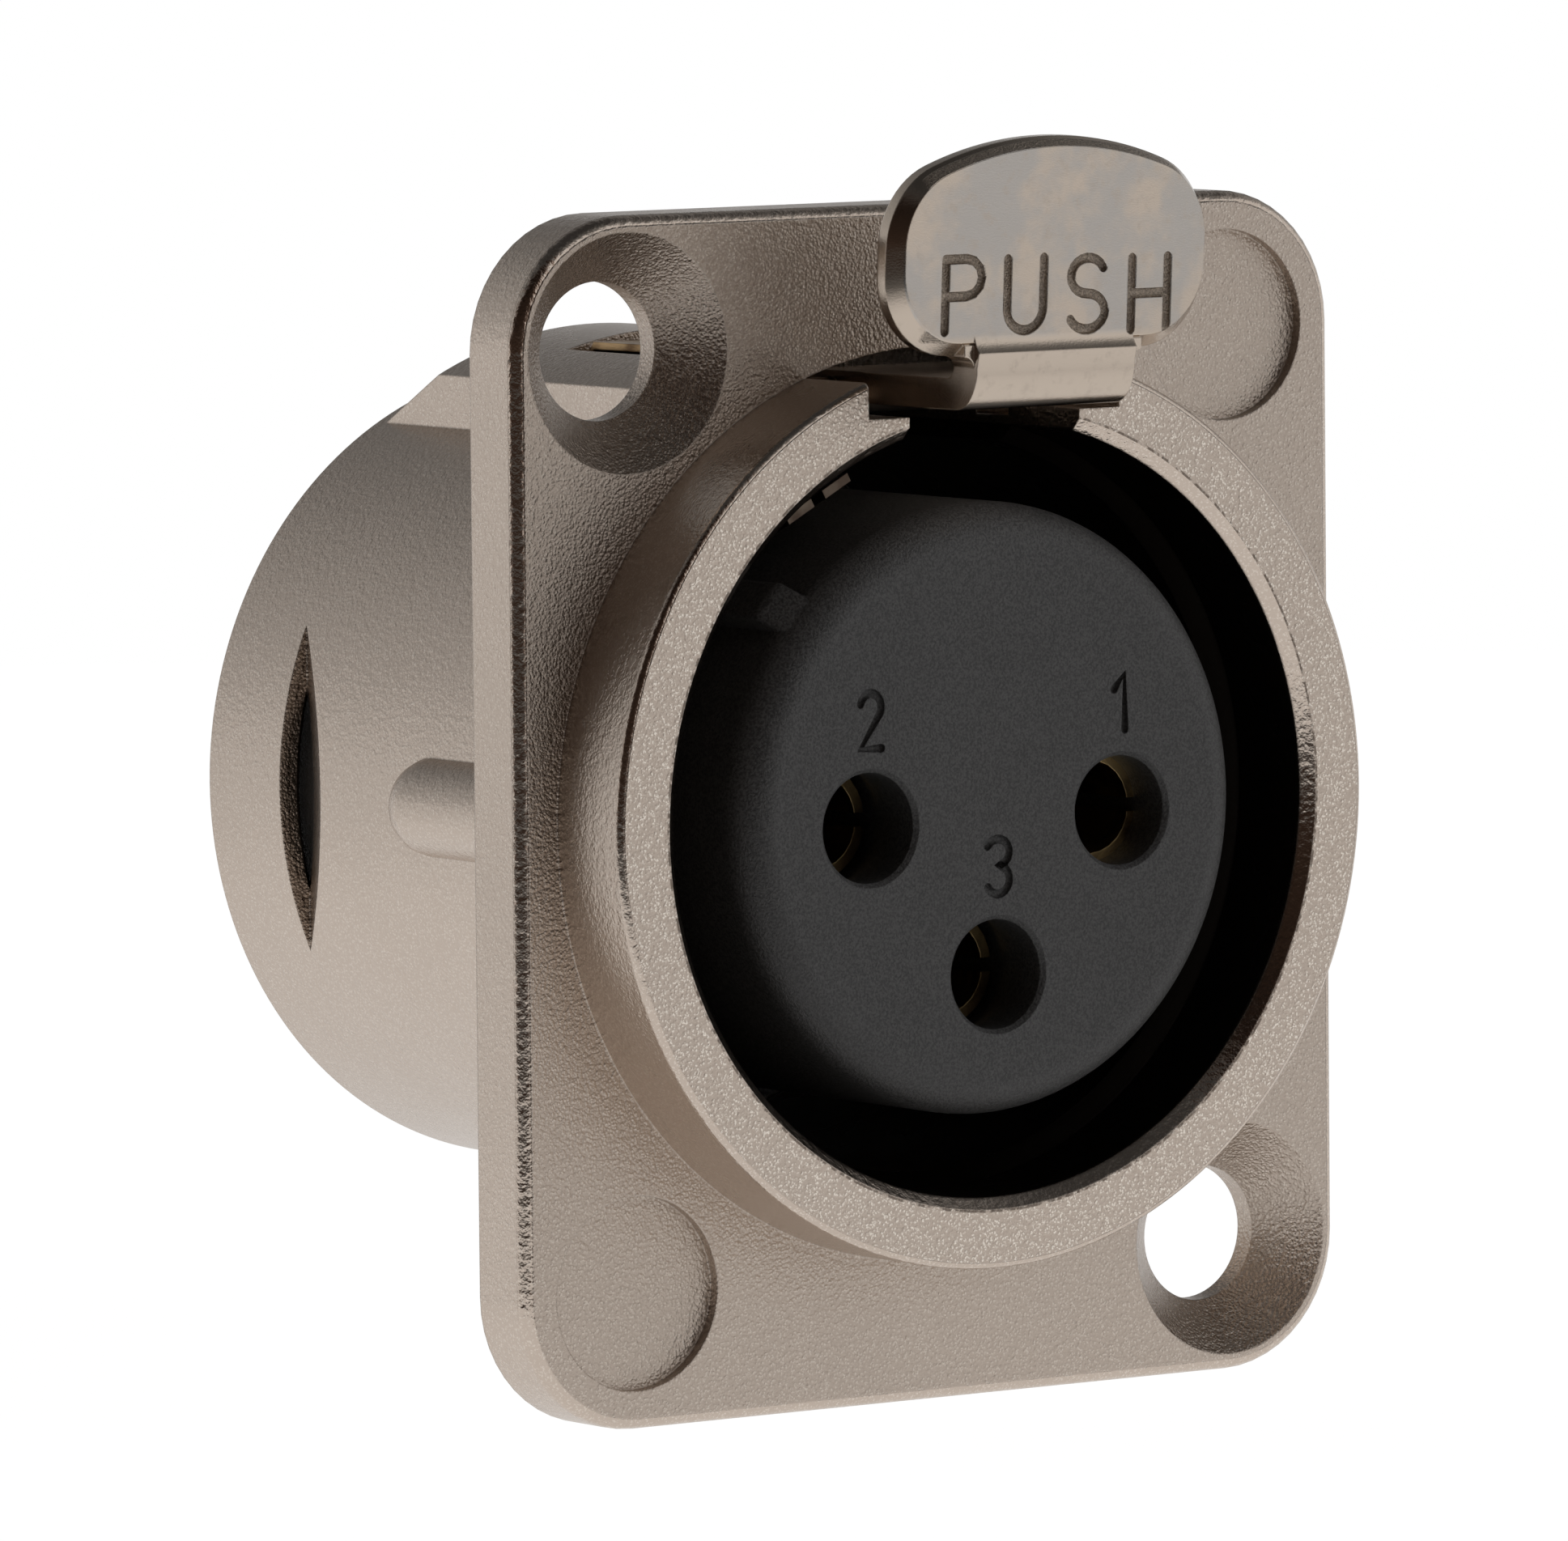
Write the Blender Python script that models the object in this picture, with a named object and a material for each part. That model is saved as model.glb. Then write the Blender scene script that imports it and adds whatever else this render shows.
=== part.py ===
"""Three-contact audio panel socket: die-cast housing, rocking push latch and black insert.

The front faces -Y, up is +Z. The origin is on the bore axis, in the plane of the panel that
the flange's back face rests on. All sizes are in metres.
"""
import math

import bmesh
import bpy
from mathutils import Matrix, Vector

MM = 0.001

# Flange
FLANGE_WIDTH = 26.0 * MM
FLANGE_HEIGHT = 31.0 * MM
FLANGE_THICKNESS = 2.0 * MM
FLANGE_CORNER_RADIUS = 3.5 * MM
FLANGE_EDGE_RADIUS = 0.35 * MM
SCREW_SPACING_X = 19.0 * MM
SCREW_SPACING_Z = 24.0 * MM
SCREW_HOLE_RADIUS = 1.78 * MM
COUNTERSINK_RADIUS = 3.08 * MM
COUNTERSINK_DEPTH = 1.38 * MM
DIMPLE_RADIUS = 2.5 * MM
DIMPLE_DEPTH = 0.3 * MM

# Bore, and the walls and steps round it
BORE_RADIUS = 9.6 * MM
BARREL_WALL = 1.0 * MM
BARREL_LENGTH = 16.1 * MM
BARREL_EDGE = 0.2 * MM
POCKET_STEP = 0.4 * MM
POCKET_DEPTH = 5.8 * MM
MOUTH_STEP = 0.4 * MM
MOUTH_CHAMFER = 0.25 * MM
MOUTH_CHAMFER_LENGTH = 0.4 * MM
MOUTH_DEPTH = 2.9 * MM
MOUTH_TAPER = 0.5 * MM
RING_WALL = 1.83 * MM
RING_HEIGHT = 2.76 * MM
RING_EDGE_RADIUS = 0.2 * MM

# Raised ridge over the latch, with its open roof
RIDGE_HALF_WIDTH = 5.12 * MM
RIDGE_RAMP = 2.7 * MM
RAMP_SETBACK = 0.4 * MM
WINDOW_HALF_WIDTH = 3.23 * MM
WINDOW_BRIDGE = 3.25 * MM
WINDOW_FLOOR_STEP = 0.1 * MM

# Stepped notch in the ring and the lever's channel
NOTCH_HALF_WIDTH = 3.98 * MM
LEDGE_RISE = 0.2 * MM
CHANNEL_SETBACK = 1.2 * MM
CHANNEL_SINK = 0.6 * MM

# Side ribs and wedge notches
RIB_RADIUS = 1.3 * MM
RIB_LENGTH = 6.9 * MM
RIB_SINK = 0.3 * MM
WEDGE_SETBACK = 3.55 * MM
WEDGE_LENGTH = 1.91 * MM
WEDGE_DEPTH = 0.91 * MM

# Latch lever
PIVOT_RISE = 0.15 * MM
TRUNNION_RADIUS = 0.5 * MM
TRUNNION_PLAY = 0.28 * MM
CRADLE_PLAY = 0.2 * MM
ARM_HALF_WIDTH = 2.5 * MM
ARM_SIDE_PLAY = 0.2 * MM
ARM_LIFT = 0.25 * MM
ARM_THICKNESS = 0.81 * MM
ARM_END_EDGE = 0.2 * MM
ARM_TAIL_GAP = 0.55 * MM
TAB_REACH = 2.69 * MM
TAB_LIFT = 1.75 * MM
TAB_HEIGHT = 4.91 * MM
TAB_THICKNESS = 1.15 * MM
TAB_HALF_WIDTH = 4.73 * MM
TAB_TOP_RADIUS = 10.0 * MM
TAB_CORNER_RADIUS = 2.0 * MM
TAB_LOWER_RADIUS = 1.85 * MM
TAB_EDGE_RADIUS = 0.16 * MM
TAB_DRAFT = 0.12 * MM
TAB_LEAN_DEG = 3.5
NECK_BULGE = 0.17 * MM
NECK_ROLL_RADIUS = 0.45 * MM
NECK_ROLL_RISE = 1.07 * MM
NECK_SWEEP_RADIUS = 2.0 * MM
TOOTH_FRONT = 2.8 * MM
TOOTH_LENGTH = 2.2 * MM
TOOTH_TIP_LENGTH = 0.6 * MM
TOOTH_REACH = 0.5 * MM
TOOTH_HALF_WIDTH = 1.9 * MM

# Leaf spring over the lever's tail
LEAF_THICKNESS = 0.2 * MM
LEAF_HALF_WIDTH = 2.7 * MM
LEAF_TIP_HALF_WIDTH = 2.2 * MM
LEAF_CLEARANCE = 0.1 * MM
LEAF_ROOT_RISE = 0.57 * MM
LEAF_ROOT_SETBACK = 0.6 * MM
LEAF_LIFT = 0.12 * MM
LEAF_TIP_Y = 1.2 * MM
LEAF_TIP_LENGTH = 0.48 * MM
LEAF_SLOT_PLAY = 0.15 * MM

# Insert
PLUG_GAP = 1.7 * MM
INSERT_EDGE_RADIUS = 1.0 * MM
INSERT_RECESS = 0.05 * MM
BASE_LENGTH = 2.6 * MM
SEAT_GAP = 0.3 * MM
KEY_ANGLE_DEG = 137.7
KEY_WIDTH = 1.2 * MM
KEY_HEIGHT = 0.55 * MM
KEY_SETBACK = 0.3 * MM

# Contacts
CONTACT_CIRCLE_RADIUS = 4.0 * MM
CONTACT_CIRCLE_DROP = 0.24 * MM
CONTACT_HOLE_RADIUS = 1.42 * MM
CONTACT_HOLE_CHAMFER = 0.12 * MM
CONTACT_BORE_RADIUS = 1.2 * MM
CONTACT_WALL = 0.3 * MM
CONTACT_PLAY = 0.25 * MM
CONTACT_DEPTH = 2.35 * MM
FIRST_CONTACT_LEAD = 1.0 * MM
PIN_STOP = 2.1 * MM
CONTACT_SLIT_WIDTH = 0.35 * MM
CONTACT_SLIT_LENGTH = 6.0 * MM
COLLAR_RADIUS = 2.0 * MM
COLLAR_LENGTH = 0.9 * MM
SHANK_RADIUS = 1.3 * MM
CUP_BORE_RADIUS = 0.9 * MM
CUP_REACH = 4.5 * MM
CUP_DEPTH = 3.2 * MM
CUP_SCOOP = 2.4 * MM

# Retainer behind the insert
RETAINER_LENGTH = 2.3 * MM
RETAINER_EDGE = 0.3 * MM

# Ground contact strip
GROUND_ANGLE_DEG = 28.0
GROUND_THICKNESS = 0.25 * MM
GROUND_HALF_WIDTH = 1.1 * MM
GROUND_CLEARANCE = 0.275 * MM
GROUND_BOW = 0.45 * MM
GROUND_BOW_LENGTH = 1.2 * MM
GROUND_SETBACK = 1.76 * MM
GROUND_SLOT_WIDTH = 0.4 * MM
GROUND_SLOT_LENGTH = 8.0 * MM
TAG_HALF_WIDTH = 0.8 * MM
TAG_SINK = 0.8 * MM
TAG_REACH = 2.4 * MM
TAG_HOLE_RADIUS = 0.4 * MM

# Facets
ROUND_STEPS = 96
HOLE_STEPS = 40
CONTACT_STEPS = 24
RIB_STEPS = 24
ARC_STEPS = 6
CORNER_STEPS = 8
BOW_STEPS = 14
EDGE_STEPS = 3
OVERCUT = 0.5 * MM
MERGE = 0.0005 * MM

# Places that follow from the sizes
FLANGE_FRONT = -FLANGE_THICKNESS
RING_FRONT = FLANGE_FRONT - RING_HEIGHT
MOUTH_RADIUS = BORE_RADIUS + MOUTH_STEP
POCKET_RADIUS = BORE_RADIUS + POCKET_STEP
RING_RADIUS = MOUTH_RADIUS + RING_WALL
BARREL_RADIUS = BORE_RADIUS + BARREL_WALL
POCKET_START = BARREL_LENGTH - POCKET_DEPTH
RIDGE_LENGTH = BARREL_LENGTH - RAMP_SETBACK - RIDGE_RAMP
WINDOW_END = RIDGE_LENGTH - WINDOW_BRIDGE
WEDGE_REAR = BARREL_LENGTH - WEDGE_SETBACK
RIB_OFFSET = BARREL_RADIUS - RIB_SINK
LEDGE_HEIGHT = MOUTH_RADIUS + LEDGE_RISE
WINDOW_FLOOR = LEDGE_HEIGHT + WINDOW_FLOOR_STEP
CHANNEL_BOTTOM = BORE_RADIUS - CHANNEL_SINK
CHANNEL_HALF_WIDTH = ARM_HALF_WIDTH + ARM_SIDE_PLAY
ARM_BOTTOM = LEDGE_HEIGHT + ARM_LIFT
ARM_TOP = ARM_BOTTOM + ARM_THICKNESS
ARM_TAIL = WINDOW_END - ARM_TAIL_GAP
CHANNEL_LENGTH = ARM_TAIL - CHANNEL_SETBACK
PIVOT = Vector((0.0, FLANGE_FRONT / 2, ARM_BOTTOM + PIVOT_RISE))
TAB_FACE_Y = RING_FRONT - TAB_REACH
TAB_BOTTOM = ARM_BOTTOM + TAB_LIFT
TAB_TOP = TAB_BOTTOM + TAB_HEIGHT
TAB_MIDDLE = TAB_BOTTOM + TAB_HEIGHT / 2
TOOTH_REAR = TOOTH_FRONT + TOOTH_LENGTH
TOOTH_TIP_HEIGHT = BORE_RADIUS - TOOTH_REACH
LEAF_HEIGHT = ARM_TOP + LEAF_LIFT + LEAF_THICKNESS / 2
LEAF_ROOT_HEIGHT = WINDOW_FLOOR + LEAF_ROOT_RISE
LEAF_ROOT_END = RIDGE_LENGTH - LEAF_ROOT_SETBACK
INSERT_RADIUS = BORE_RADIUS - PLUG_GAP
INSERT_FRONT = RING_FRONT + INSERT_RECESS
BASE_START = POCKET_START + SEAT_GAP
BASE_END = BASE_START + BASE_LENGTH
BASE_RADIUS = POCKET_RADIUS - SEAT_GAP
RETAINER_START = BASE_END + SEAT_GAP
RETAINER_END = RETAINER_START + RETAINER_LENGTH
CONTACT_BORE_END = BASE_START - PIN_STOP
CUP_END = BARREL_LENGTH + CUP_REACH
GROUND_RADIUS = BORE_RADIUS - GROUND_CLEARANCE - GROUND_THICKNESS / 2
GROUND_START = RING_FRONT + GROUND_SETBACK
GROUND_SLOT_END = GROUND_START + GROUND_SLOT_LENGTH
TAG_RADIUS = BASE_RADIUS - TAG_SINK
TAG_END = BARREL_LENGTH + TAG_REACH


def clear_scene():
    for item in list(bpy.data.objects):
        bpy.data.objects.remove(item, do_unlink=True)


def material(name, colour, roughness, metallic):
    """A Principled material in one colour."""
    made = bpy.data.materials.new(name)
    made.use_nodes = True
    shader = made.node_tree.nodes["Principled BSDF"]
    shader.inputs["Base Color"].default_value = (*colour, 1.0)
    shader.inputs["Roughness"].default_value = roughness
    shader.inputs["Metallic"].default_value = metallic
    made.diffuse_color = (*colour, 1.0)
    return made


def new_object(name, mesh_data):
    """Link a finished bmesh to the scene under its name."""
    bmesh.ops.recalc_face_normals(mesh_data, faces=mesh_data.faces)
    mesh = bpy.data.meshes.new(name)
    mesh_data.to_mesh(mesh)
    mesh_data.free()
    made = bpy.data.objects.new(name, mesh)
    bpy.context.scene.collection.objects.link(made)
    return made


def revolve(name, outline, steps, centre=(0.0, 0.0)):
    """Turn an outline of (y, radius) points about an axis along Y at (x, z)."""
    turned = bmesh.new()
    chain = [turned.verts.new((radius, y, 0.0)) for y, radius in outline]
    edges = [turned.edges.new(pair) for pair in zip(chain, chain[1:])]
    if outline[0][1] > 0.0:
        edges.append(turned.edges.new((chain[-1], chain[0])))
    bmesh.ops.spin(
        turned, geom=chain + edges, cent=(0, 0, 0), axis=(0, 1, 0),
        angle=2 * math.pi, steps=steps, use_merge=True,
    )
    bmesh.ops.remove_doubles(turned, verts=turned.verts, dist=MERGE)
    bmesh.ops.translate(turned, verts=turned.verts, vec=(centre[0], 0.0, centre[1]))
    return new_object(name, turned)


def prism(name, outline, axis, low, high):
    """Extrude a flat outline along X, Y or Z. The outline gives the other two, in order."""
    places = {
        "X": lambda u, v, w: (w, u, v),
        "Y": lambda u, v, w: (u, w, v),
        "Z": lambda u, v, w: (u, v, w),
    }
    place = places[axis]
    solid = bmesh.new()
    base = solid.faces.new([solid.verts.new(place(u, v, low)) for u, v in outline])
    grown = bmesh.ops.extrude_face_region(solid, geom=[base])
    moved = [part for part in grown["geom"] if isinstance(part, bmesh.types.BMVert)]
    bmesh.ops.translate(solid, verts=moved, vec=place(0.0, 0.0, high - low))
    return new_object(name, solid)


def box(name, low, high):
    outline = [(low[0], low[1]), (high[0], low[1]), (high[0], high[1]), (low[0], high[1])]
    return prism(name, outline, "Z", low[2], high[2])


def arc(centre, radius, start_deg, end_deg, steps=ARC_STEPS):
    """Points on an arc, both ends included."""
    turn = math.radians(end_deg - start_deg)
    first = math.radians(start_deg)
    return [
        (
            centre[0] + radius * math.cos(first + turn * step / steps),
            centre[1] + radius * math.sin(first + turn * step / steps),
        )
        for step in range(steps + 1)
    ]


def boolean(target, tool, operation):
    """Join a tool to the target or cut it out of it, and hide the tool."""
    modifier = target.modifiers.new(tool.name, "BOOLEAN")
    modifier.operation = operation
    modifier.object = tool
    modifier.solver = "EXACT"
    tool.hide_render = True
    tool.hide_viewport = False
    tool.display_type = "WIRE"
    tool.hide_set(True)


def join(target, *tools):
    for tool in tools:
        boolean(target, tool, "UNION")


def cut(target, *tools):
    for tool in tools:
        boolean(target, tool, "DIFFERENCE")


def finish(made, surface):
    """Give a piece its material and smooth its round faces."""
    made.data.materials.append(surface)
    made.data.shade_smooth()
    made.data.set_sharp_from_angle(angle=math.radians(35))


def move_origin(made, point):
    """Put an object's origin on a point without moving its shape."""
    made.data.transform(Matrix.Translation(-point))
    made.location = point


def round_front(solid, front, radius):
    """Round the edges that lie in the plane of a front face."""
    edges = [
        edge for edge in solid.edges
        if all(abs(corner.co.y - front) < MERGE for corner in edge.verts)
    ]
    bmesh.ops.bevel(
        solid, geom=edges, offset=radius, offset_type="OFFSET",
        segments=EDGE_STEPS, profile=0.5, affect="EDGES",
    )


def flange_blank():
    """Rounded plate with a rolled front edge and a slight break at the back."""
    half_x = FLANGE_WIDTH / 2 - FLANGE_CORNER_RADIUS
    half_z = FLANGE_HEIGHT / 2 - FLANGE_CORNER_RADIUS
    outline = []
    for side_x, side_z, start in ((1, 1, 0), (-1, 1, 90), (-1, -1, 180), (1, -1, 270)):
        outline += arc(
            (side_x * half_x, side_z * half_z), FLANGE_CORNER_RADIUS, start, start + 90,
            CORNER_STEPS,
        )
    plate = prism("flange_blank", outline, "Y", FLANGE_FRONT, 0.0)
    edges = bmesh.new()
    edges.from_mesh(plate.data)
    round_front(edges, FLANGE_FRONT, FLANGE_EDGE_RADIUS)
    edges.to_mesh(plate.data)
    edges.free()
    return plate


def arched_section(y, radius, half_width, foot):
    """Cross-section with straight cheeks under an arc about the bore axis."""
    side_deg = math.degrees(math.asin(half_width / radius))
    top = arc((0.0, 0.0), radius, 90 - side_deg, 90 + side_deg, BOW_STEPS)
    outline = [(half_width, foot)] + top + [(-half_width, foot)]
    return [(x, y, z) for x, z in outline]


def loft(name, sections):
    """Solid through sections that have the same number of points."""
    solid = bmesh.new()
    rings = [[solid.verts.new(point) for point in section] for section in sections]
    for near, far in zip(rings, rings[1:]):
        for step in range(len(near)):
            after = (step + 1) % len(near)
            solid.faces.new((near[step], near[after], far[after], far[step]))
    solid.faces.new(rings[0])
    solid.faces.new(rings[-1])
    return new_object(name, solid)


def ridge():
    """Raised ridge over the latch, level with the ring, that slopes down to the barrel's end."""
    ramp_end = RIDGE_LENGTH + RIDGE_RAMP
    return loft("ridge_blank", [
        arched_section(FLANGE_FRONT / 2, RING_RADIUS, RIDGE_HALF_WIDTH, CHANNEL_BOTTOM),
        arched_section(RIDGE_LENGTH, RING_RADIUS, RIDGE_HALF_WIDTH, CHANNEL_BOTTOM),
        arched_section(
            ramp_end, BARREL_RADIUS - BARREL_EDGE / 2, RIDGE_HALF_WIDTH, CHANNEL_BOTTOM
        ),
    ])


def side_rib(side):
    """Half-round rib beside the barrel with a rounded end."""
    turn = RIB_LENGTH - RIB_RADIUS
    outline = [(FLANGE_FRONT / 2, 0.0)]
    outline += [(FLANGE_FRONT / 2, RIB_RADIUS)]
    outline += [(turn + y, radius) for radius, y in arc((0, 0), RIB_RADIUS, 0, 80)]
    outline += [(RIB_LENGTH, 0.0)]
    return revolve(f"rib_blank_{side}", outline, RIB_STEPS, (side * RIB_OFFSET, 0.0))


def turned_blank():
    """Solid ring and barrel before the bore is cut."""
    edge = arc(
        (RING_RADIUS - RING_EDGE_RADIUS, RING_FRONT + RING_EDGE_RADIUS), RING_EDGE_RADIUS,
        -90, 0, EDGE_STEPS,
    )
    middle = FLANGE_FRONT / 2
    outline = [(RING_FRONT, 0.0)]
    outline += [(y, radius) for radius, y in edge]
    outline += [
        (middle, RING_RADIUS),
        (middle, BARREL_RADIUS),
        (BARREL_LENGTH - BARREL_EDGE, BARREL_RADIUS),
        (BARREL_LENGTH, BARREL_RADIUS - BARREL_EDGE),
        (BARREL_LENGTH, 0.0),
    ]
    return revolve("housing", outline, ROUND_STEPS)


def bore_cutter():
    """Chamfered mouth, plug bore and the wider pocket for the insert's base."""
    taper_start = RING_FRONT + MOUTH_DEPTH
    outline = [
        (RING_FRONT - OVERCUT, 0.0),
        (RING_FRONT - OVERCUT, MOUTH_RADIUS + MOUTH_CHAMFER),
        (RING_FRONT, MOUTH_RADIUS + MOUTH_CHAMFER),
        (RING_FRONT + MOUTH_CHAMFER_LENGTH, MOUTH_RADIUS),
        (taper_start, MOUTH_RADIUS),
        (taper_start + MOUTH_TAPER, BORE_RADIUS),
        (POCKET_START, BORE_RADIUS),
        (POCKET_START, POCKET_RADIUS),
        (BARREL_LENGTH + OVERCUT, POCKET_RADIUS),
        (BARREL_LENGTH + OVERCUT, 0.0),
    ]
    return revolve("bore_cutter", outline, ROUND_STEPS)


def latch_passage_cutters():
    """Notch in the ring, arched slot in the flange, cradles, channel, window and leaf slot."""
    above = RING_RADIUS + 4 * OVERCUT
    notch = box(
        "notch_cutter",
        (-NOTCH_HALF_WIDTH, RING_FRONT - OVERCUT, LEDGE_HEIGHT),
        (NOTCH_HALF_WIDTH, FLANGE_FRONT, above),
    )
    slot = loft("slot_cutter", [
        arched_section(y, RING_RADIUS, NOTCH_HALF_WIDTH, LEDGE_HEIGHT)
        for y in (FLANGE_FRONT - OVERCUT, 0.0)
    ])
    reach = TRUNNION_RADIUS + CRADLE_PLAY
    cradle = box(
        "cradle_cutter",
        (-NOTCH_HALF_WIDTH, PIVOT.y - reach, PIVOT.z - reach),
        (NOTCH_HALF_WIDTH, PIVOT.y + reach, LEDGE_HEIGHT + OVERCUT),
    )
    channel = box(
        "channel_cutter",
        (-CHANNEL_HALF_WIDTH, RING_FRONT - OVERCUT, CHANNEL_BOTTOM),
        (CHANNEL_HALF_WIDTH, CHANNEL_LENGTH, WINDOW_FLOOR + WINDOW_FLOOR_STEP),
    )
    window = box(
        "window_cutter",
        (-WINDOW_HALF_WIDTH, 0.0, WINDOW_FLOOR),
        (WINDOW_HALF_WIDTH, WINDOW_END, above),
    )
    play = LEAF_THICKNESS / 2 + LEAF_SLOT_PLAY
    leaf_slot = box(
        "leaf_slot_cutter",
        (-LEAF_HALF_WIDTH - CRADLE_PLAY, WINDOW_END - OVERCUT, LEAF_ROOT_HEIGHT - play),
        (LEAF_HALF_WIDTH + CRADLE_PLAY, LEAF_ROOT_END + CRADLE_PLAY, LEAF_ROOT_HEIGHT + play),
    )
    return notch, slot, cradle, channel, window, leaf_slot


def wedge_cutter(side):
    """Wedge notch across the side of the barrel, deepest at its upright rear wall."""
    outside = 2 * OVERCUT
    run = WEDGE_LENGTH * (1 + outside / WEDGE_DEPTH)
    outline = [
        (side * (BARREL_RADIUS - WEDGE_DEPTH), WEDGE_REAR),
        (side * (BARREL_RADIUS + outside), WEDGE_REAR),
        (side * (BARREL_RADIUS + outside), WEDGE_REAR - run),
    ]
    return prism(f"wedge_cutter_{side}", outline, "Z", -BARREL_RADIUS, BARREL_RADIUS)


def screw_hole_cutter(side):
    """Countersunk screw hole, upper left (side 1) or lower right (side -1)."""
    outline = [
        (FLANGE_FRONT - OVERCUT, 0.0),
        (FLANGE_FRONT - OVERCUT, COUNTERSINK_RADIUS),
        (FLANGE_FRONT, COUNTERSINK_RADIUS),
        (FLANGE_FRONT + COUNTERSINK_DEPTH, SCREW_HOLE_RADIUS),
        (OVERCUT, SCREW_HOLE_RADIUS),
        (OVERCUT, 0.0),
    ]
    centre = (-side * SCREW_SPACING_X / 2, side * SCREW_SPACING_Z / 2)
    return revolve(f"screw_cutter_{side}", outline, HOLE_STEPS, centre)


def dimple_cutter(side):
    """Shallow round recess, upper right (side 1) or lower left (side -1)."""
    outline = [
        (FLANGE_FRONT - OVERCUT, 0.0),
        (FLANGE_FRONT - OVERCUT, DIMPLE_RADIUS),
        (FLANGE_FRONT + DIMPLE_DEPTH, DIMPLE_RADIUS),
        (FLANGE_FRONT + DIMPLE_DEPTH, 0.0),
    ]
    centre = (side * SCREW_SPACING_X / 2, side * SCREW_SPACING_Z / 2)
    return revolve(f"dimple_cutter_{side}", outline, HOLE_STEPS, centre)


def make_housing(surface):
    housing = turned_blank()
    join(housing, flange_blank(), ridge(), side_rib(1), side_rib(-1))
    cut(housing, bore_cutter(), *latch_passage_cutters())
    cut(housing, wedge_cutter(1), wedge_cutter(-1))
    cut(housing, screw_hole_cutter(1), screw_hole_cutter(-1))
    cut(housing, dimple_cutter(1), dimple_cutter(-1))
    finish(housing, surface)


def tab_outline(grow):
    """Tab outline: flat bottom, round corners and a bowed top. Grow widens it all round."""
    half = TAB_HALF_WIDTH + grow
    low = TAB_LOWER_RADIUS + grow
    corner = TAB_CORNER_RADIUS + grow
    bow = TAB_TOP_RADIUS + grow
    bow_centre = TAB_TOP - TAB_TOP_RADIUS
    low_centre = (half - low, TAB_BOTTOM - grow + low)
    side = half - corner
    rise = math.sqrt((bow - corner) ** 2 - side * side)
    corner_centre = (side, bow_centre + rise)
    meet_deg = math.degrees(math.atan2(rise, side))
    right = arc(low_centre, low, -90, 0, CORNER_STEPS)
    right += arc(corner_centre, corner, 0, meet_deg, CORNER_STEPS)
    top = arc((0.0, bow_centre), bow, meet_deg, 180 - meet_deg, BOW_STEPS)[1:-1]
    left = [(-x, z) for x, z in reversed(right)]
    return right + top + left


def tab():
    """Leaning tab plate with a round front edge, whose rim spreads a little to its back."""
    solid = bmesh.new()
    front = [solid.verts.new((x, TAB_FACE_Y, z)) for x, z in tab_outline(0.0)]
    back_y = TAB_FACE_Y + TAB_THICKNESS
    back = [solid.verts.new((x, back_y, z)) for x, z in tab_outline(TAB_DRAFT)]
    solid.faces.new(front)
    solid.faces.new(back)
    for step in range(len(front)):
        after = (step + 1) % len(front)
        solid.faces.new((front[step], front[after], back[after], back[step]))
    round_front(solid, TAB_FACE_Y, TAB_EDGE_RADIUS)
    lean = Matrix.Rotation(math.radians(TAB_LEAN_DEG), 3, "X")
    centre = Vector((0.0, TAB_FACE_Y, TAB_MIDDLE))
    bmesh.ops.rotate(solid, verts=solid.verts, cent=centre, matrix=lean)
    return new_object("tab_blank", solid)


def face_y(z):
    """Place of the tab's leaning face at a height."""
    return TAB_FACE_Y + math.tan(math.radians(TAB_LEAN_DEG)) * (TAB_MIDDLE - z)


def arm():
    """Neck that swells under the tab and rolls back into a flat arm."""
    top = TAB_BOTTOM + TAB_LOWER_RADIUS / 2
    roll_y = face_y(TAB_BOTTOM) - NECK_BULGE + NECK_ROLL_RADIUS
    roll = arc((roll_y, ARM_BOTTOM + NECK_ROLL_RISE), NECK_ROLL_RADIUS, 160, 225)
    slant = math.cos(math.radians(45))
    drop = roll[-1][1] - ARM_BOTTOM - NECK_SWEEP_RADIUS * (1 - slant)
    sweep_y = roll[-1][0] + drop + NECK_SWEEP_RADIUS * slant
    sweep_centre = (sweep_y, ARM_BOTTOM + NECK_SWEEP_RADIUS)
    back = face_y(TAB_BOTTOM) + TAB_THICKNESS
    inside_centre = (back + NECK_ROLL_RADIUS, ARM_TOP + NECK_ROLL_RADIUS)
    outline = [
        (face_y(top) + TAB_EDGE_RADIUS / 2, top),
        (face_y(TAB_BOTTOM), TAB_BOTTOM - NECK_BULGE),
    ]
    outline += roll
    outline += arc(sweep_centre, NECK_SWEEP_RADIUS, 225, 270)
    outline += [
        (ARM_TAIL - ARM_END_EDGE, ARM_BOTTOM),
        (ARM_TAIL, ARM_BOTTOM + ARM_END_EDGE),
        (ARM_TAIL, ARM_TOP - ARM_END_EDGE),
        (ARM_TAIL - ARM_END_EDGE, ARM_TOP),
    ]
    outline += arc(inside_centre, NECK_ROLL_RADIUS, 270, 180)
    outline += [(back, TAB_BOTTOM), (face_y(top) + TAB_THICKNESS / 2, top)]
    return prism("latch_lever", outline, "X", -ARM_HALF_WIDTH, ARM_HALF_WIDTH)


def trunnions():
    """Round cross bar under the arm, whose ends rock in the flange's cradles."""
    reach = NOTCH_HALF_WIDTH - TRUNNION_PLAY
    outline = arc((PIVOT.y, PIVOT.z), TRUNNION_RADIUS, 0, 360, CONTACT_STEPS)[:-1]
    return prism("trunnion_blank", outline, "X", -reach, reach)


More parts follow.
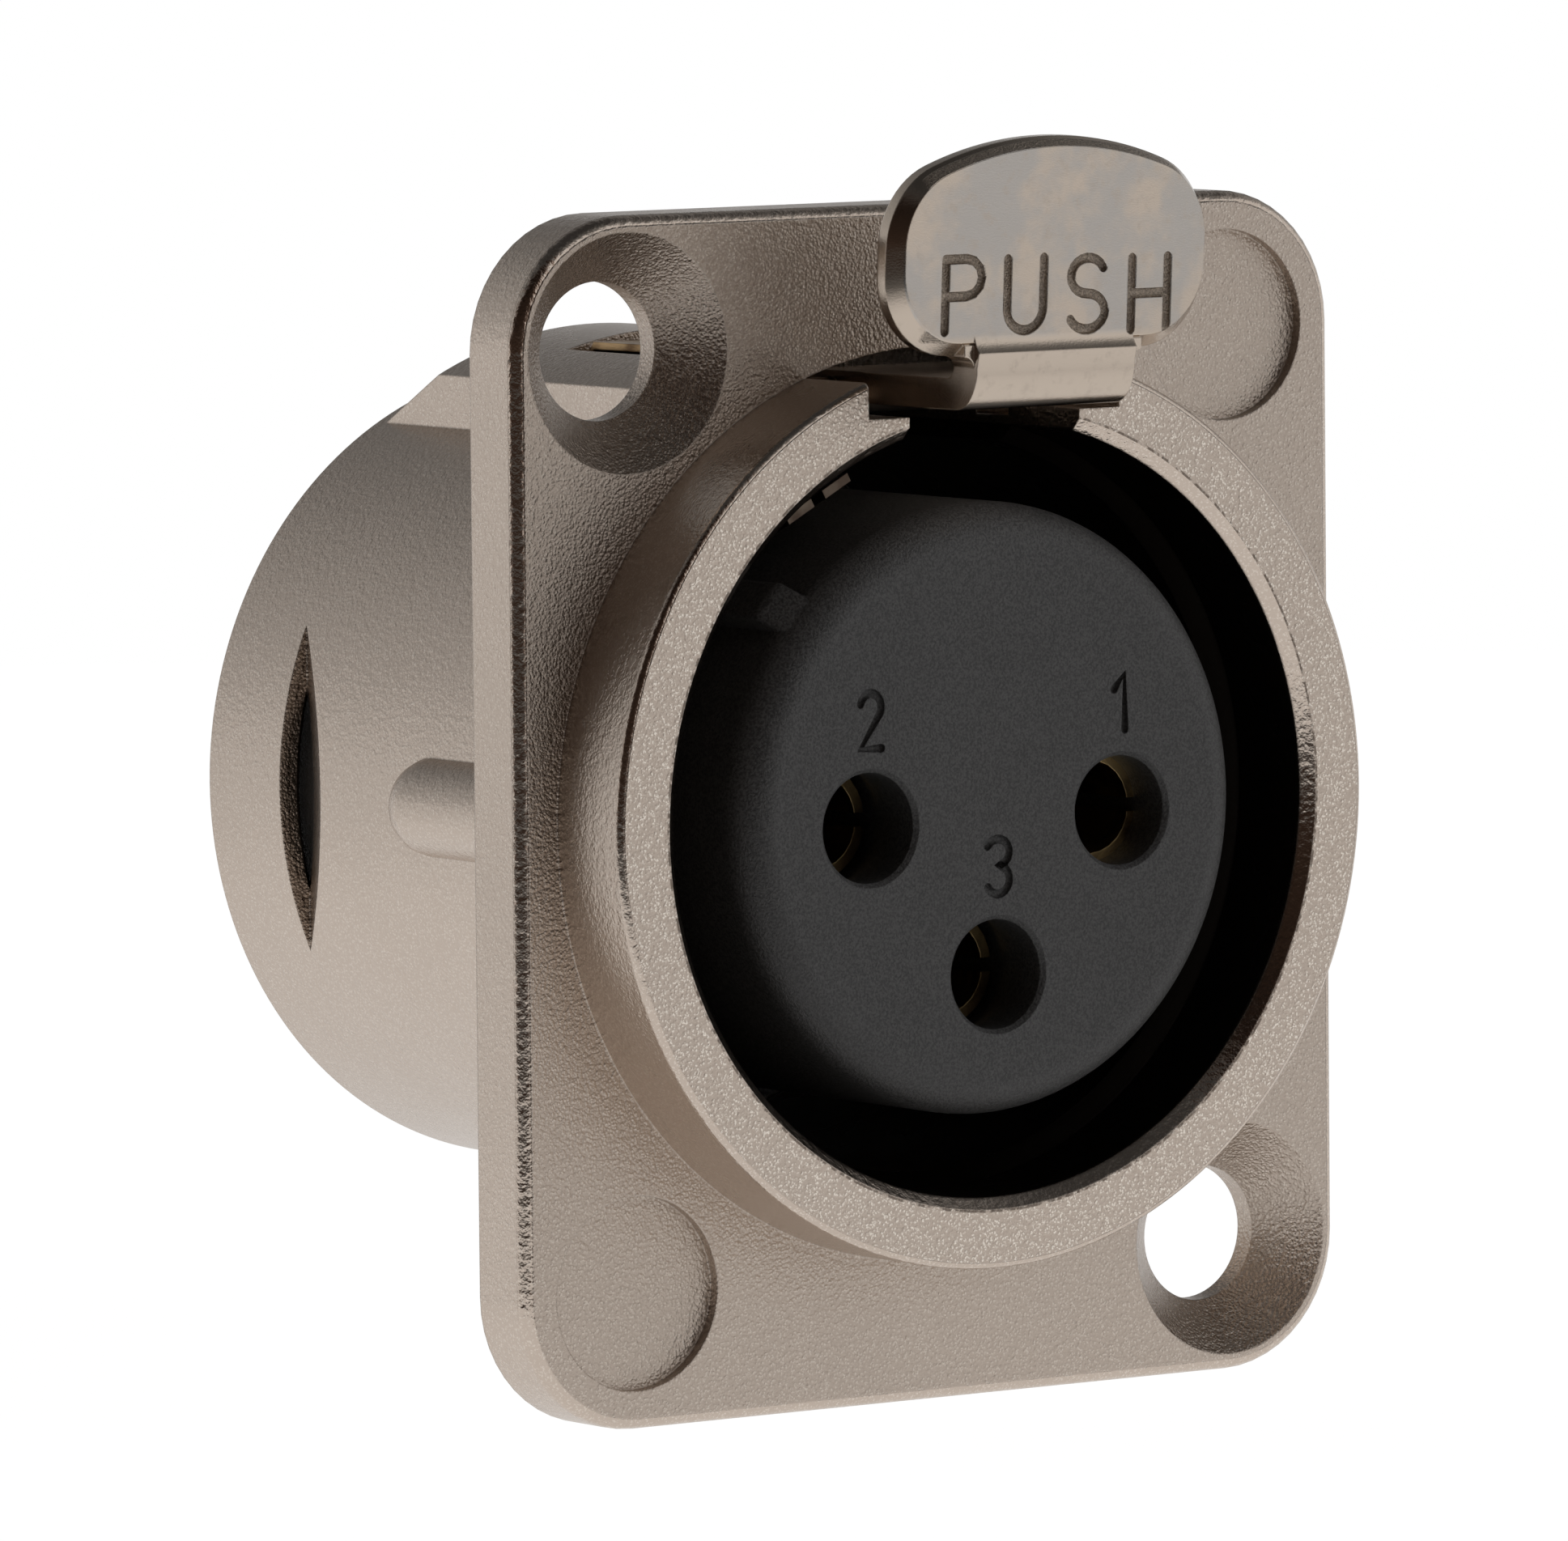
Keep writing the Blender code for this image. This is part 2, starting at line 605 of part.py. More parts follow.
def tooth():
    """Locking tooth: sloped in front to lift over a plug, upright behind to hold it."""
    root = ARM_BOTTOM + ARM_THICKNESS / 2
    outline = [
        (TOOTH_FRONT, root),
        (TOOTH_FRONT, ARM_BOTTOM),
        (TOOTH_REAR - TOOTH_TIP_LENGTH, TOOTH_TIP_HEIGHT),
        (TOOTH_REAR, TOOTH_TIP_HEIGHT),
        (TOOTH_REAR, root),
    ]
    return prism("tooth_blank", outline, "X", -TOOTH_HALF_WIDTH, TOOTH_HALF_WIDTH)


def make_latch_lever(surface):
    lever = arm()
    blanks = (tab(), trunnions(), tooth())
    for blank in (lever,) + blanks:
        move_origin(blank, PIVOT)
    join(lever, *blanks)
    finish(lever, surface)


def strip(name, path, thickness):
    """Thin strip along a path of (y, z, half width) points, flat across X."""
    solid = bmesh.new()
    half = thickness / 2
    rings = [
        [
            solid.verts.new(corner)
            for corner in (
                (-side, y, z - half), (side, y, z - half), (side, y, z + half), (-side, y, z + half)
            )
        ]
        for y, z, side in path
    ]
    for near, far in zip(rings, rings[1:]):
        for step in range(4):
            after = (step + 1) % 4
            solid.faces.new((near[step], near[after], far[after], far[step]))
    solid.faces.new(rings[0])
    solid.faces.new(rings[-1])
    return new_object(name, solid)


def make_latch_spring(surface):
    """Leaf held in the ridge behind the window, stepped up over the lever's tail."""
    step_start = WINDOW_END + LEAF_CLEARANCE
    step_end = ARM_TAIL + LEAF_CLEARANCE
    path = [
        (LEAF_ROOT_END, LEAF_ROOT_HEIGHT, LEAF_HALF_WIDTH),
        (step_start, LEAF_ROOT_HEIGHT, LEAF_HALF_WIDTH),
        (step_end, LEAF_HEIGHT, LEAF_HALF_WIDTH),
        (LEAF_TIP_Y + LEAF_TIP_LENGTH, LEAF_HEIGHT, LEAF_TIP_HALF_WIDTH),
        (LEAF_TIP_Y, LEAF_HEIGHT + LEAF_LIFT, LEAF_TIP_HALF_WIDTH),
    ]
    finish(strip("latch_spring", path, LEAF_THICKNESS), surface)


def contact_places():
    """Centre (x, z) of each contact by its number."""
    places = {}
    for number, angle_deg in ((1, 0.0), (2, 180.0), (3, 270.0)):
        angle = math.radians(angle_deg)
        places[number] = (
            CONTACT_CIRCLE_RADIUS * math.cos(angle),
            CONTACT_CIRCLE_RADIUS * math.sin(angle) - CONTACT_CIRCLE_DROP,
        )
    return places


def contact_front(number):
    """The first contact stands forward so that it meets its pin before the others."""
    lead = FIRST_CONTACT_LEAD if number == 1 else 0.0
    return INSERT_FRONT + CONTACT_DEPTH - lead


def contact_bore_cutter(number, centre):
    """Chamfered pin hole, contact chamber and collar seat."""
    chamber = CONTACT_BORE_RADIUS + CONTACT_WALL + CONTACT_PLAY
    chamber_start = contact_front(number) - CONTACT_PLAY
    seat = COLLAR_RADIUS + CONTACT_PLAY
    seat_start = BASE_END - COLLAR_LENGTH - CONTACT_PLAY
    outline = [
        (INSERT_FRONT - CONTACT_HOLE_CHAMFER, 0.0),
        (INSERT_FRONT - CONTACT_HOLE_CHAMFER, CONTACT_HOLE_RADIUS + 2 * CONTACT_HOLE_CHAMFER),
        (INSERT_FRONT + CONTACT_HOLE_CHAMFER, CONTACT_HOLE_RADIUS),
        (chamber_start, CONTACT_HOLE_RADIUS),
        (chamber_start, chamber),
        (seat_start, chamber),
        (seat_start, seat),
        (BASE_END + OVERCUT, seat),
        (BASE_END + OVERCUT, 0.0),
    ]
    return revolve(f"contact_cutter_{number}", outline, CONTACT_STEPS, centre)


def ground_notch_cutter(name, start, end):
    """Edge notch that lets the ground strip pass."""
    floor = TAG_RADIUS - GROUND_THICKNESS / 2 - CONTACT_PLAY
    side = GROUND_HALF_WIDTH + CONTACT_PLAY
    notch = box(name, (-side, start, floor), (side, end, BARREL_RADIUS))
    notch.data.transform(Matrix.Rotation(math.radians(-GROUND_ANGLE_DEG), 4, "Y"))
    return notch


def make_insert(surface):
    rounding = arc(
        (INSERT_RADIUS - INSERT_EDGE_RADIUS, INSERT_FRONT + INSERT_EDGE_RADIUS),
        INSERT_EDGE_RADIUS, -90, 0,
    )
    outline = [(INSERT_FRONT, 0.0)]
    outline += [(y, radius) for radius, y in rounding]
    outline += [
        (BASE_START, INSERT_RADIUS),
        (BASE_START, BASE_RADIUS),
        (BASE_END, BASE_RADIUS),
        (BASE_END, 0.0),
    ]
    insert = revolve("insert", outline, ROUND_STEPS)
    key = box(
        "key_blank",
        (-KEY_WIDTH / 2, INSERT_FRONT + KEY_SETBACK, INSERT_RADIUS - INSERT_EDGE_RADIUS),
        (KEY_WIDTH / 2, BASE_START + BASE_LENGTH / 2, INSERT_RADIUS + KEY_HEIGHT),
    )
    key.data.transform(Matrix.Rotation(math.radians(90 - KEY_ANGLE_DEG), 4, "Y"))
    join(insert, key)
    for number, centre in contact_places().items():
        cut(insert, contact_bore_cutter(number, centre))
    cut(insert, ground_notch_cutter("base_notch_cutter", BASE_START - OVERCUT, BASE_END + OVERCUT))
    finish(insert, surface)


def make_retainer(surface):
    outline = [
        (RETAINER_START, 0.0),
        (RETAINER_START, BASE_RADIUS),
        (RETAINER_END - RETAINER_EDGE, BASE_RADIUS),
        (RETAINER_END, BASE_RADIUS - RETAINER_EDGE),
        (RETAINER_END, 0.0),
    ]
    retainer = revolve("retainer", outline, ROUND_STEPS)
    for number, centre in contact_places().items():
        shank_hole = [
            (RETAINER_START - OVERCUT, 0.0),
            (RETAINER_START - OVERCUT, SHANK_RADIUS + CONTACT_PLAY),
            (RETAINER_END + OVERCUT, SHANK_RADIUS + CONTACT_PLAY),
            (RETAINER_END + OVERCUT, 0.0),
        ]
        cut(retainer, revolve(f"shank_cutter_{number}", shank_hole, CONTACT_STEPS, centre))
    cut(
        retainer,
        ground_notch_cutter("tag_notch_cutter", RETAINER_START - OVERCUT, RETAINER_END + OVERCUT),
    )
    finish(retainer, surface)


def make_contact(number, centre, surface):
    """Split socket in front, collar in the middle and an open solder cup behind."""
    front = contact_front(number)
    socket = CONTACT_BORE_RADIUS + CONTACT_WALL
    outline = [
        (CONTACT_BORE_END, 0.0),
        (CONTACT_BORE_END, CONTACT_BORE_RADIUS),
        (front, CONTACT_BORE_RADIUS),
        (front, socket),
        (BASE_END - COLLAR_LENGTH, socket),
        (BASE_END - COLLAR_LENGTH, COLLAR_RADIUS),
        (BASE_END, COLLAR_RADIUS),
        (BASE_END, SHANK_RADIUS),
        (CUP_END, SHANK_RADIUS),
        (CUP_END, CUP_BORE_RADIUS),
        (CUP_END - CUP_DEPTH, CUP_BORE_RADIUS),
        (CUP_END - CUP_DEPTH, 0.0),
    ]
    contact = revolve(f"contact_{number}", outline, CONTACT_STEPS, centre)
    x, z = centre
    half = CONTACT_SLIT_WIDTH / 2
    reach = socket + OVERCUT
    slit_end = front + CONTACT_SLIT_LENGTH
    cut(
        contact,
        box(
            f"slit_cutter_{number}",
            (x - reach, front - OVERCUT, z - half),
            (x + reach, slit_end, z + half),
        ),
        box(
            f"scoop_cutter_{number}",
            (x - reach, CUP_END - CUP_SCOOP, z),
            (x + reach, CUP_END + OVERCUT, z + reach),
        ),
    )
    finish(contact, surface)


def make_ground_contact(surface):
    """Bowed strip with two tines in front and a pierced solder tag behind."""
    rest = GROUND_RADIUS
    wide = GROUND_HALF_WIDTH
    path = [
        (GROUND_START, rest, wide),
        (GROUND_START + GROUND_BOW_LENGTH, rest - GROUND_BOW, wide),
        (GROUND_START + 2 * GROUND_BOW_LENGTH, rest - GROUND_BOW, wide),
        (GROUND_SLOT_END, rest, wide),
        (POCKET_START - SEAT_GAP, rest, wide),
        (BASE_START, TAG_RADIUS, wide),
        (BASE_END, TAG_RADIUS, wide),
        (BASE_END + SEAT_GAP, TAG_RADIUS, TAG_HALF_WIDTH),
        (TAG_END, TAG_RADIUS, TAG_HALF_WIDTH),
    ]
    ground = strip("ground_contact", path, GROUND_THICKNESS)
    hole = prism(
        "tag_hole_cutter",
        arc((0.0, TAG_END - 2 * TAG_HOLE_RADIUS), TAG_HOLE_RADIUS, 0, 360, CONTACT_STEPS)[:-1],
        "Z", TAG_RADIUS - OVERCUT, TAG_RADIUS + OVERCUT,
    )
    slot = box(
        "tine_cutter",
        (-GROUND_SLOT_WIDTH / 2, GROUND_START - OVERCUT, rest - 2 * GROUND_BOW),
        (GROUND_SLOT_WIDTH / 2, GROUND_SLOT_END, rest + OVERCUT),
    )
    turn = Matrix.Rotation(math.radians(-GROUND_ANGLE_DEG), 4, "Y")
    for blank in (ground, hole, slot):
        blank.data.transform(turn)
    cut(ground, slot, hole)
    finish(ground, surface)


def main():
    clear_scene()
    cast_metal = material("cast_nickel", (0.60, 0.57, 0.53), 0.38, 1.0)
    tab_metal = material("bright_nickel", (0.64, 0.62, 0.60), 0.25, 1.0)
    black_plastic = material("black_plastic", (0.03, 0.03, 0.032), 0.5, 0.0)
    contact_metal = material("contact_brass", (0.62, 0.47, 0.24), 0.3, 1.0)
    spring_metal = material("spring_bronze", (0.55, 0.40, 0.24), 0.35, 1.0)
    make_housing(cast_metal)
    make_latch_lever(tab_metal)
    make_latch_spring(spring_metal)
    make_insert(black_plastic)
    make_retainer(black_plastic)
    for number, centre in contact_places().items():
        make_contact(number, centre, contact_metal)
    make_ground_contact(tab_metal)


main()
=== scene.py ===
import math

import bpy
from mathutils import Matrix, Vector


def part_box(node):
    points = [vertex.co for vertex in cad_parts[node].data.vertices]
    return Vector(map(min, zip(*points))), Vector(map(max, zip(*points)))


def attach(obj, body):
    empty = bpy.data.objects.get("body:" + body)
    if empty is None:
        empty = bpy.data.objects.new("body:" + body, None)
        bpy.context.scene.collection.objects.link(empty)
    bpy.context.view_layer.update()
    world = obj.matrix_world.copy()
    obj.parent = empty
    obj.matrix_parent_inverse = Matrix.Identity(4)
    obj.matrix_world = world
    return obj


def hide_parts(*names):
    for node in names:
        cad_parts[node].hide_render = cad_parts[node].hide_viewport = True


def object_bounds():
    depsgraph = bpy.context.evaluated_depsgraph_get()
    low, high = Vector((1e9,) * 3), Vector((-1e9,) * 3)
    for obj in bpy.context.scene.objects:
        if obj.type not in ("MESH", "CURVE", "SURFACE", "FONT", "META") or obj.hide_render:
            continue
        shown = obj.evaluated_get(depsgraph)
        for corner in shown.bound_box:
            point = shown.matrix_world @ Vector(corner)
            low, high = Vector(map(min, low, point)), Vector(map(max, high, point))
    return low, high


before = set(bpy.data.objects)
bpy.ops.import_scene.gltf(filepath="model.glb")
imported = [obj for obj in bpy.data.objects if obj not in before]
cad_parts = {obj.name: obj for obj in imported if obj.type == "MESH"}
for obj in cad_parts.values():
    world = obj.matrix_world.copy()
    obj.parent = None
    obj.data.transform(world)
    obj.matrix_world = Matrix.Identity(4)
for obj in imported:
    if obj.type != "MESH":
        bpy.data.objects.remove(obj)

CAD_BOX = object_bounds()
MM = 0.001

# Facets and allowances
ROUND_SEGMENTS = 192
HOLE_SEGMENTS = 64
CORNER_STEPS = 12
ARC_STEPS = 6
OVERCUT = 0.5 * MM
CRUMB = 0.01 * MM
ROUND_END = (0.5, 0.85, 0.99)
SHARP_DEG = 20.0
FLOOR_RADIUS = 0.25
EDGE_STEPS = 6
NECK_STEPS = 8
TURN_STEPS = 10
LETTER_STEPS = 14
TOP_STEPS = 24
ROD_STEPS = 8
BEVEL_SAMPLES = 6

# Finishes: grain, relief, the places where they change, and tints, some of them painted shade,
# painted light and painted glints
CAST_GRAIN = 0.09 * MM
CAST_SWELL = 0.2 * MM
CAST_CLOUD = 2.6 * MM
CAST_RELIEF = 0.03 * MM
CAST_ROUNDING = 0.08 * MM
FINE_GRAIN = 0.05 * MM
PLATE_CLOUD = 2.4 * MM
PLATE_WAVE = 1.6 * MM
PLATE_STAIN = 0.5 * MM
PLATE_RELIEF = 0.015 * MM
PLATE_ROUNDING = 0.06 * MM
MOULD_GRAIN = 0.07 * MM
MOULD_MOTTLE = 0.22 * MM
MOULD_CLOUD = 2.5 * MM
MOULD_RELIEF = 0.03 * MM
MOULD_ROUNDING = 0.05 * MM
BRASS_CLOUD = 0.9 * MM
BRASS_RELIEF = 0.008 * MM
BRASS_ROUNDING = 0.04 * MM
# Where the bore's painted shade starts and ends, and where it fades out at the bore's wall
BORE_DARK_START = 0.2 * MM
BORE_DARK_END = 0.5 * MM
BORE_DARK_EDGE = (10.02 * MM, 10.08 * MM)
# Depth behind the ring's front over which its face takes painted light and stronger painted glints
END_FACE_START = 0.05 * MM
END_FACE_END = 0.3 * MM
# Radii of the painted shade line at the mouth's edge
EDGE_SHADE_BAND = (10.30 * MM, 10.35 * MM, 0.03 * MM)
STROKE_DEPTHS = (0.03 * MM, 0.30 * MM, 0.02 * MM)
WORD_EDGE = (3.9 * MM, 4.1 * MM)
TAB_FACE_DEPTHS = (0.02 * MM, 0.06 * MM)
MOULD_RIM_EDGE = (9.5 * MM, 9.65 * MM)
COOL_TINT = (0.49, 0.455, 0.42)
# Near-white colour of the painted glints on the casting's grain
PAINTED_GLINT_TINT = (0.98, 0.90, 0.80)
# Dark colour of the painted shade line at the mouth's edge
EDGE_SHADE_TINT = (0.12, 0.09, 0.07)
# Near-black colour of the painted shade inside the bore
BORE_SHADE_TINT = (0.06, 0.045, 0.035)
MOTTLE_TINT = (0.14, 0.115, 0.09)
# Ground strip colours, darkened as painted shade for its place inside the mouth
STRIP_SHADE_COLOURS = ((0.14, 0.11, 0.085), (0.06, 0.04, 0.03))
BRASS_COLOURS = ((0.42, 0.30, 0.14), (0.12, 0.08, 0.04))
BRONZE_COLOURS = ((0.50, 0.34, 0.18), (0.24, 0.15, 0.08))

# Studio: directions are (across, along), strengths are shares of full white
WHITE = (1.0, 1.0, 1.0)
PAPER = (0.80, 0.79, 0.77)
DARK_SIDE_TINT = (1.0, 0.66, 0.5)
DARK_SIDE = (-0.819, -0.574)
LIT_SIDE = (0.58, -0.81)
BACK_SIDE = (0.58, 0.81)
ROOM_LIGHT = 0.80
ROOM_FALL = 0.36
OVERHEAD_FALL = 0.40
SOFTBOX_LIGHT = 0.76
DARK_SIDE_LOSS = 0.94
BACK_SIDE_LOSS = 0.7
# Floor glow in reflections: a painted pool of light that falls off outward, with painted shade on
# the camera's side
FLOOR_LIGHT = 0.92
FLOOR_FALL = 0.18
FLOOR_DARK_LOSS = 0.9
FLOOR_WHITE = 1.16
FLOOR_GLOW_SHARE = 0.85
FLOOR_FALL_REACH = (0.03, 0.16)
FLOOR_DARK_REACH = (0.03, 0.08)
CLIP_NEAR = 0.01
CLIP_FAR = 20.0

# Housing, whose reach comes from the frame
HOUSING_LOW, HOUSING_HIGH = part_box("housing")
RING_FRONT = HOUSING_LOW.y
BARREL_END = HOUSING_HIGH.y
FLANGE_HALF_X = HOUSING_HIGH.x
FLANGE_HALF_Z = HOUSING_HIGH.z
FLANGE_FRONT = -2.0 * MM
FLANGE_CORNER_RADIUS = 3.5 * MM
FLANGE_EDGE_RADIUS = 0.35 * MM
SCREW_X = 9.5 * MM
SCREW_Z = 12.0 * MM
SCREW_HOLE_RADIUS = 1.78 * MM
COUNTERSINK_RADIUS = 3.08 * MM
COUNTERSINK_DEPTH = 1.38 * MM
DIMPLE_RADIUS = 2.5 * MM
DIMPLE_DEPTH = 0.3 * MM
RING_RADIUS = 11.83 * MM
RING_EDGE_RADIUS = 0.2 * MM
MOUTH_RADIUS = 10.0 * MM
MOUTH_CHAMFER = 0.3 * MM
MOUTH_DEPTH = 2.9 * MM
MOUTH_TAPER = 0.5 * MM
BORE_RADIUS = 9.6 * MM
BARREL_RADIUS = 10.6 * MM
BARREL_EDGE = 0.2 * MM
POCKET_RADIUS = 10.0 * MM
POCKET_START = BARREL_END - 5.8 * MM
RIDGE_HALF_WIDTH = 5.12 * MM
RIDGE_END = BARREL_END - 3.1 * MM
RIDGE_RAMP = 2.7 * MM
NOTCH_HALF_WIDTH = 3.98 * MM
LEDGE_HEIGHT = 10.2 * MM
WINDOW_HALF_WIDTH = 3.23 * MM
WINDOW_END = RIDGE_END - 3.25 * MM
WINDOW_FLOOR = 10.3 * MM
CHANNEL_HALF_WIDTH = 2.7 * MM
CHANNEL_END = WINDOW_END - 1.75 * MM
CHANNEL_BOTTOM = 9.0 * MM
RIB_RADIUS = 1.3 * MM
RIB_LENGTH = 6.9 * MM
RIB_OFFSET = 10.3 * MM
WEDGE_REAR = BARREL_END - 3.55 * MM
WEDGE_FRONT = WEDGE_REAR - 1.91 * MM
WEDGE_DEPTH = 0.91 * MM

# Latch lever
PIVOT = Vector((0.0, -1.0 * MM, 10.6 * MM))
TRUNNION_RADIUS = 0.5 * MM
TRUNNION_PLAY = 0.28 * MM
CRADLE_PLAY = 0.2 * MM
ARM_HALF_WIDTH = 2.5 * MM
ARM_BOTTOM = 10.45 * MM
ARM_THICKNESS = 0.81 * MM
ARM_TOP = ARM_BOTTOM + ARM_THICKNESS
ARM_TAIL = WINDOW_END - 0.55 * MM
TAB_FACE_Y = -7.45 * MM
TAB_CENTRE_Z = 14.6 * MM
TAB_THICKNESS = 0.9 * MM
TAB_HALF_WIDTH = 4.73 * MM
TAB_TOP = 17.11 * MM
TAB_BOTTOM = 12.2 * MM
TAB_TOP_RADIUS = 10.0 * MM
TAB_CORNER_RADIUS = 2.0 * MM
TAB_LOWER_RADIUS = 1.85 * MM
TAB_RIM_SIDE = 0.3 * MM
TAB_RIM_TOP = 0.24 * MM
TAB_RIM_FOOT = 0.36 * MM
TAB_RIM_DEPTH = 0.45 * MM
TAB_EDGE_RADIUS = 0.14 * MM
TAB_LEAN_DEG = 3.5
NECK_START = 12.44 * MM
NECK_CREST = 11.92 * MM
NECK_BULGE = 0.2 * MM
NECK_UNDERCUT = 0.1 * MM
NECK_TURN = 0.9 * MM
NECK_DROP = 1.1 * MM
NECK_CORNER = 0.3 * MM
TOOTH_FRONT = 2.8 * MM
TOOTH_REAR = 5.0 * MM
TOOTH_TIP_LENGTH = 0.6 * MM
TOOTH_TIP_HEIGHT = 9.1 * MM
TOOTH_HALF_WIDTH = 1.9 * MM
LETTER_PLACES = (-2.89 * MM, -0.94 * MM, 1.03 * MM, 3.0 * MM)
LETTER_WIDTH = 0.62
LETTER_HEIGHT = 1.83 * MM
LETTER_LOW = 12.44 * MM
LETTER_FALL = 0.027
LETTER_STROKE = 0.26 * MM
LETTER_SINK = 0.03 * MM

# Insert
INSERT_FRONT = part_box("insert")[0].y
INSERT_RADIUS = 7.9 * MM
INSERT_EDGE_RADIUS = 1.0 * MM
BASE_START = POCKET_START + 0.3 * MM
BASE_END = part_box("insert")[1].y
BASE_RADIUS = 9.7 * MM
KEY_ANGLE_DEG = 137.7
KEY_WIDTH = 1.2 * MM
KEY_HEIGHT = 0.55 * MM
KEY_SETBACK = 0.4 * MM
KEY_RAMP = 0.9 * MM
CONTACT_CIRCLE_RADIUS = 4.0 * MM
CONTACT_CIRCLE_DROP = 0.24 * MM
CONTACT_HOLE_RADIUS = 1.42 * MM
HOLE_CHAMFER = 0.12 * MM
CONTACT_PLAY = 0.33 * MM
CONTACT_DEPTH = 2.35 * MM
FIRST_CONTACT_LEAD = 1.0 * MM
DIGIT_HEIGHT = 1.42 * MM
DIGIT_STROKE = 0.25 * MM
DIGIT_SINK = 0.05 * MM
DIGIT_PLACES = {
    1: (4.12 * MM, 1.86 * MM, 0.24),
    2: (-3.97 * MM, 1.8 * MM, 0.46),
    3: (0.01 * MM, -2.16 * MM, 0.52),
}

bl_info = {
    "name": "Panel socket finish",
    "version": (1, 0, 0),
    "blender": (4, 5, 0),
    "location": "View3D > Sidebar > Socket",
    "description": "Models and finishes a three-contact panel socket around its packed parts",
    "category": "Object",
}


class Term:
    """One value in a shader, so that its maths reads as a Python expression."""

    def __init__(self, graph, socket):
        self.graph = graph
        self.socket = socket

    def maths(self, operation, *values):
        return self.graph.node(
            "ShaderNodeMath", {"operation": operation}, dict(enumerate(values))
        )

    def __add__(self, other):
        return self.maths("ADD", self, other)

    __radd__ = __add__

    def __sub__(self, other):
        return self.maths("SUBTRACT", self, other)

    def __rsub__(self, other):
        return self.maths("SUBTRACT", other, self)

    def __mul__(self, other):
        return self.maths("MULTIPLY", self, other)

    __rmul__ = __mul__

    def __neg__(self):
        return self.maths("MULTIPLY", self, -1.0)

    def root(self):
        return self.maths("SQRT", self)

    def size(self):
        return self.maths("ABSOLUTE", self)

    def most(self, other):
        return self.maths("MAXIMUM", self, other)

    def fade(self, low, high):
        """0 at low and 1 at high, with a soft start and end."""
        return self.graph.node(
            "ShaderNodeMapRange",
            {"interpolation_type": "SMOOTHSTEP"},
            {"Value": self, "From Min": low, "From Max": high},
        )

    def band(self, low, high, soft):
        """1 between low and high, falling to 0 over a soft edge outside them."""
        return self.fade(low - soft, low) * (1 - self.fade(high, high + soft))


class Graph:
    """The node tree of a material, a world or a lamp."""

    def __init__(self, owner):
        owner.use_nodes = True
        self.tree = owner.node_tree
        self.tree.nodes.clear()

    def node(self, kind, settings=None, values=None, output=0):
        """Add a node: its settings first, then the values or links of its sockets."""
        made = self.tree.nodes.new(kind)
        for name, value in (settings or {}).items():
            setattr(made, name, value)
        for name, value in (values or {}).items():
            if isinstance(value, Term):
                self.tree.links.new(value.socket, made.inputs[name])
            else:
                made.inputs[name].default_value = value
        return Term(self, made.outputs[output]) if made.outputs else None

    def out(self, term, name):
        """Another output of the node that a term came from."""
        return Term(self, term.socket.node.outputs[name])

    def place(self):
        """Object coordinates as a vector and as x, y and z."""
        vector = self.node("ShaderNodeTexCoord", output="Object")
        split = self.node("ShaderNodeSeparateXYZ", values={0: vector})
        return vector, split, self.out(split, "Y"), self.out(split, "Z")

    def facing(self):
        """How far the surface turns to the back, from -1 on a front face to 1."""
        vector = self.node("ShaderNodeTexCoord", output="Normal")
        return self.out(self.node("ShaderNodeSeparateXYZ", values={0: vector}), "Y")

    def noise(self, vector, grain, detail=2.0, roughness=0.5):
        """Soft noise whose lumps measure about one grain, in metres."""
        return self.node(
            "ShaderNodeTexNoise",
            values={
                "Vector": vector,
                "Scale": 1.0 / grain,
                "Detail": detail,
                "Roughness": roughness,
            },
        )

    def pebbles(self, vector, grain, smoothness=0.35):
        """Rounded grains, packed like sand, about one grain apart."""
        return 1 - self.node(
            "ShaderNodeTexVoronoi",
            {"feature": "SMOOTH_F1"},
            {"Vector": vector, "Scale": 1.0 / grain, "Smoothness": smoothness},
        )

    def blend(self, factor, first, second):
        """Mix two colours, each a tuple or a term."""
        colours = [
            value if isinstance(value, Term) else (*value, 1.0) for value in (first, second)
        ]
        return self.node(
            "ShaderNodeMix",
            {"data_type": "RGBA"},
            {0: factor, 6: colours[0], 7: colours[1]},
            output=2,
        )

    def bump(self, height, depth, edge):
        """Relief of a given depth over edges that are rounded by a given radius."""
        rounded = self.node("ShaderNodeBevel", {"samples": BEVEL_SAMPLES}, {"Radius": edge})
        return self.node(
            "ShaderNodeBump", values={"Height": height, "Distance": depth, "Normal": rounded}
        )

    def surface(self, fixed, **varying):
        """End the material in a Principled shader."""
        names = {
            "colour": "Base Color",
            "roughness": "Roughness",
            "metallic": "Metallic",
            "normal": "Normal",
        }
        values = dict(fixed)
        values.update({names[key]: value for key, value in varying.items()})
        shader = self.node("ShaderNodeBsdfPrincipled", values=values)
        self.node("ShaderNodeOutputMaterial", values={"Surface": shader})


def new_material(name):
    made = bpy.data.materials.new(name)
    return made, Graph(made)


def shade(colour, share):
    """A colour darkened to a share of itself."""
    return tuple(value * share for value in colour)


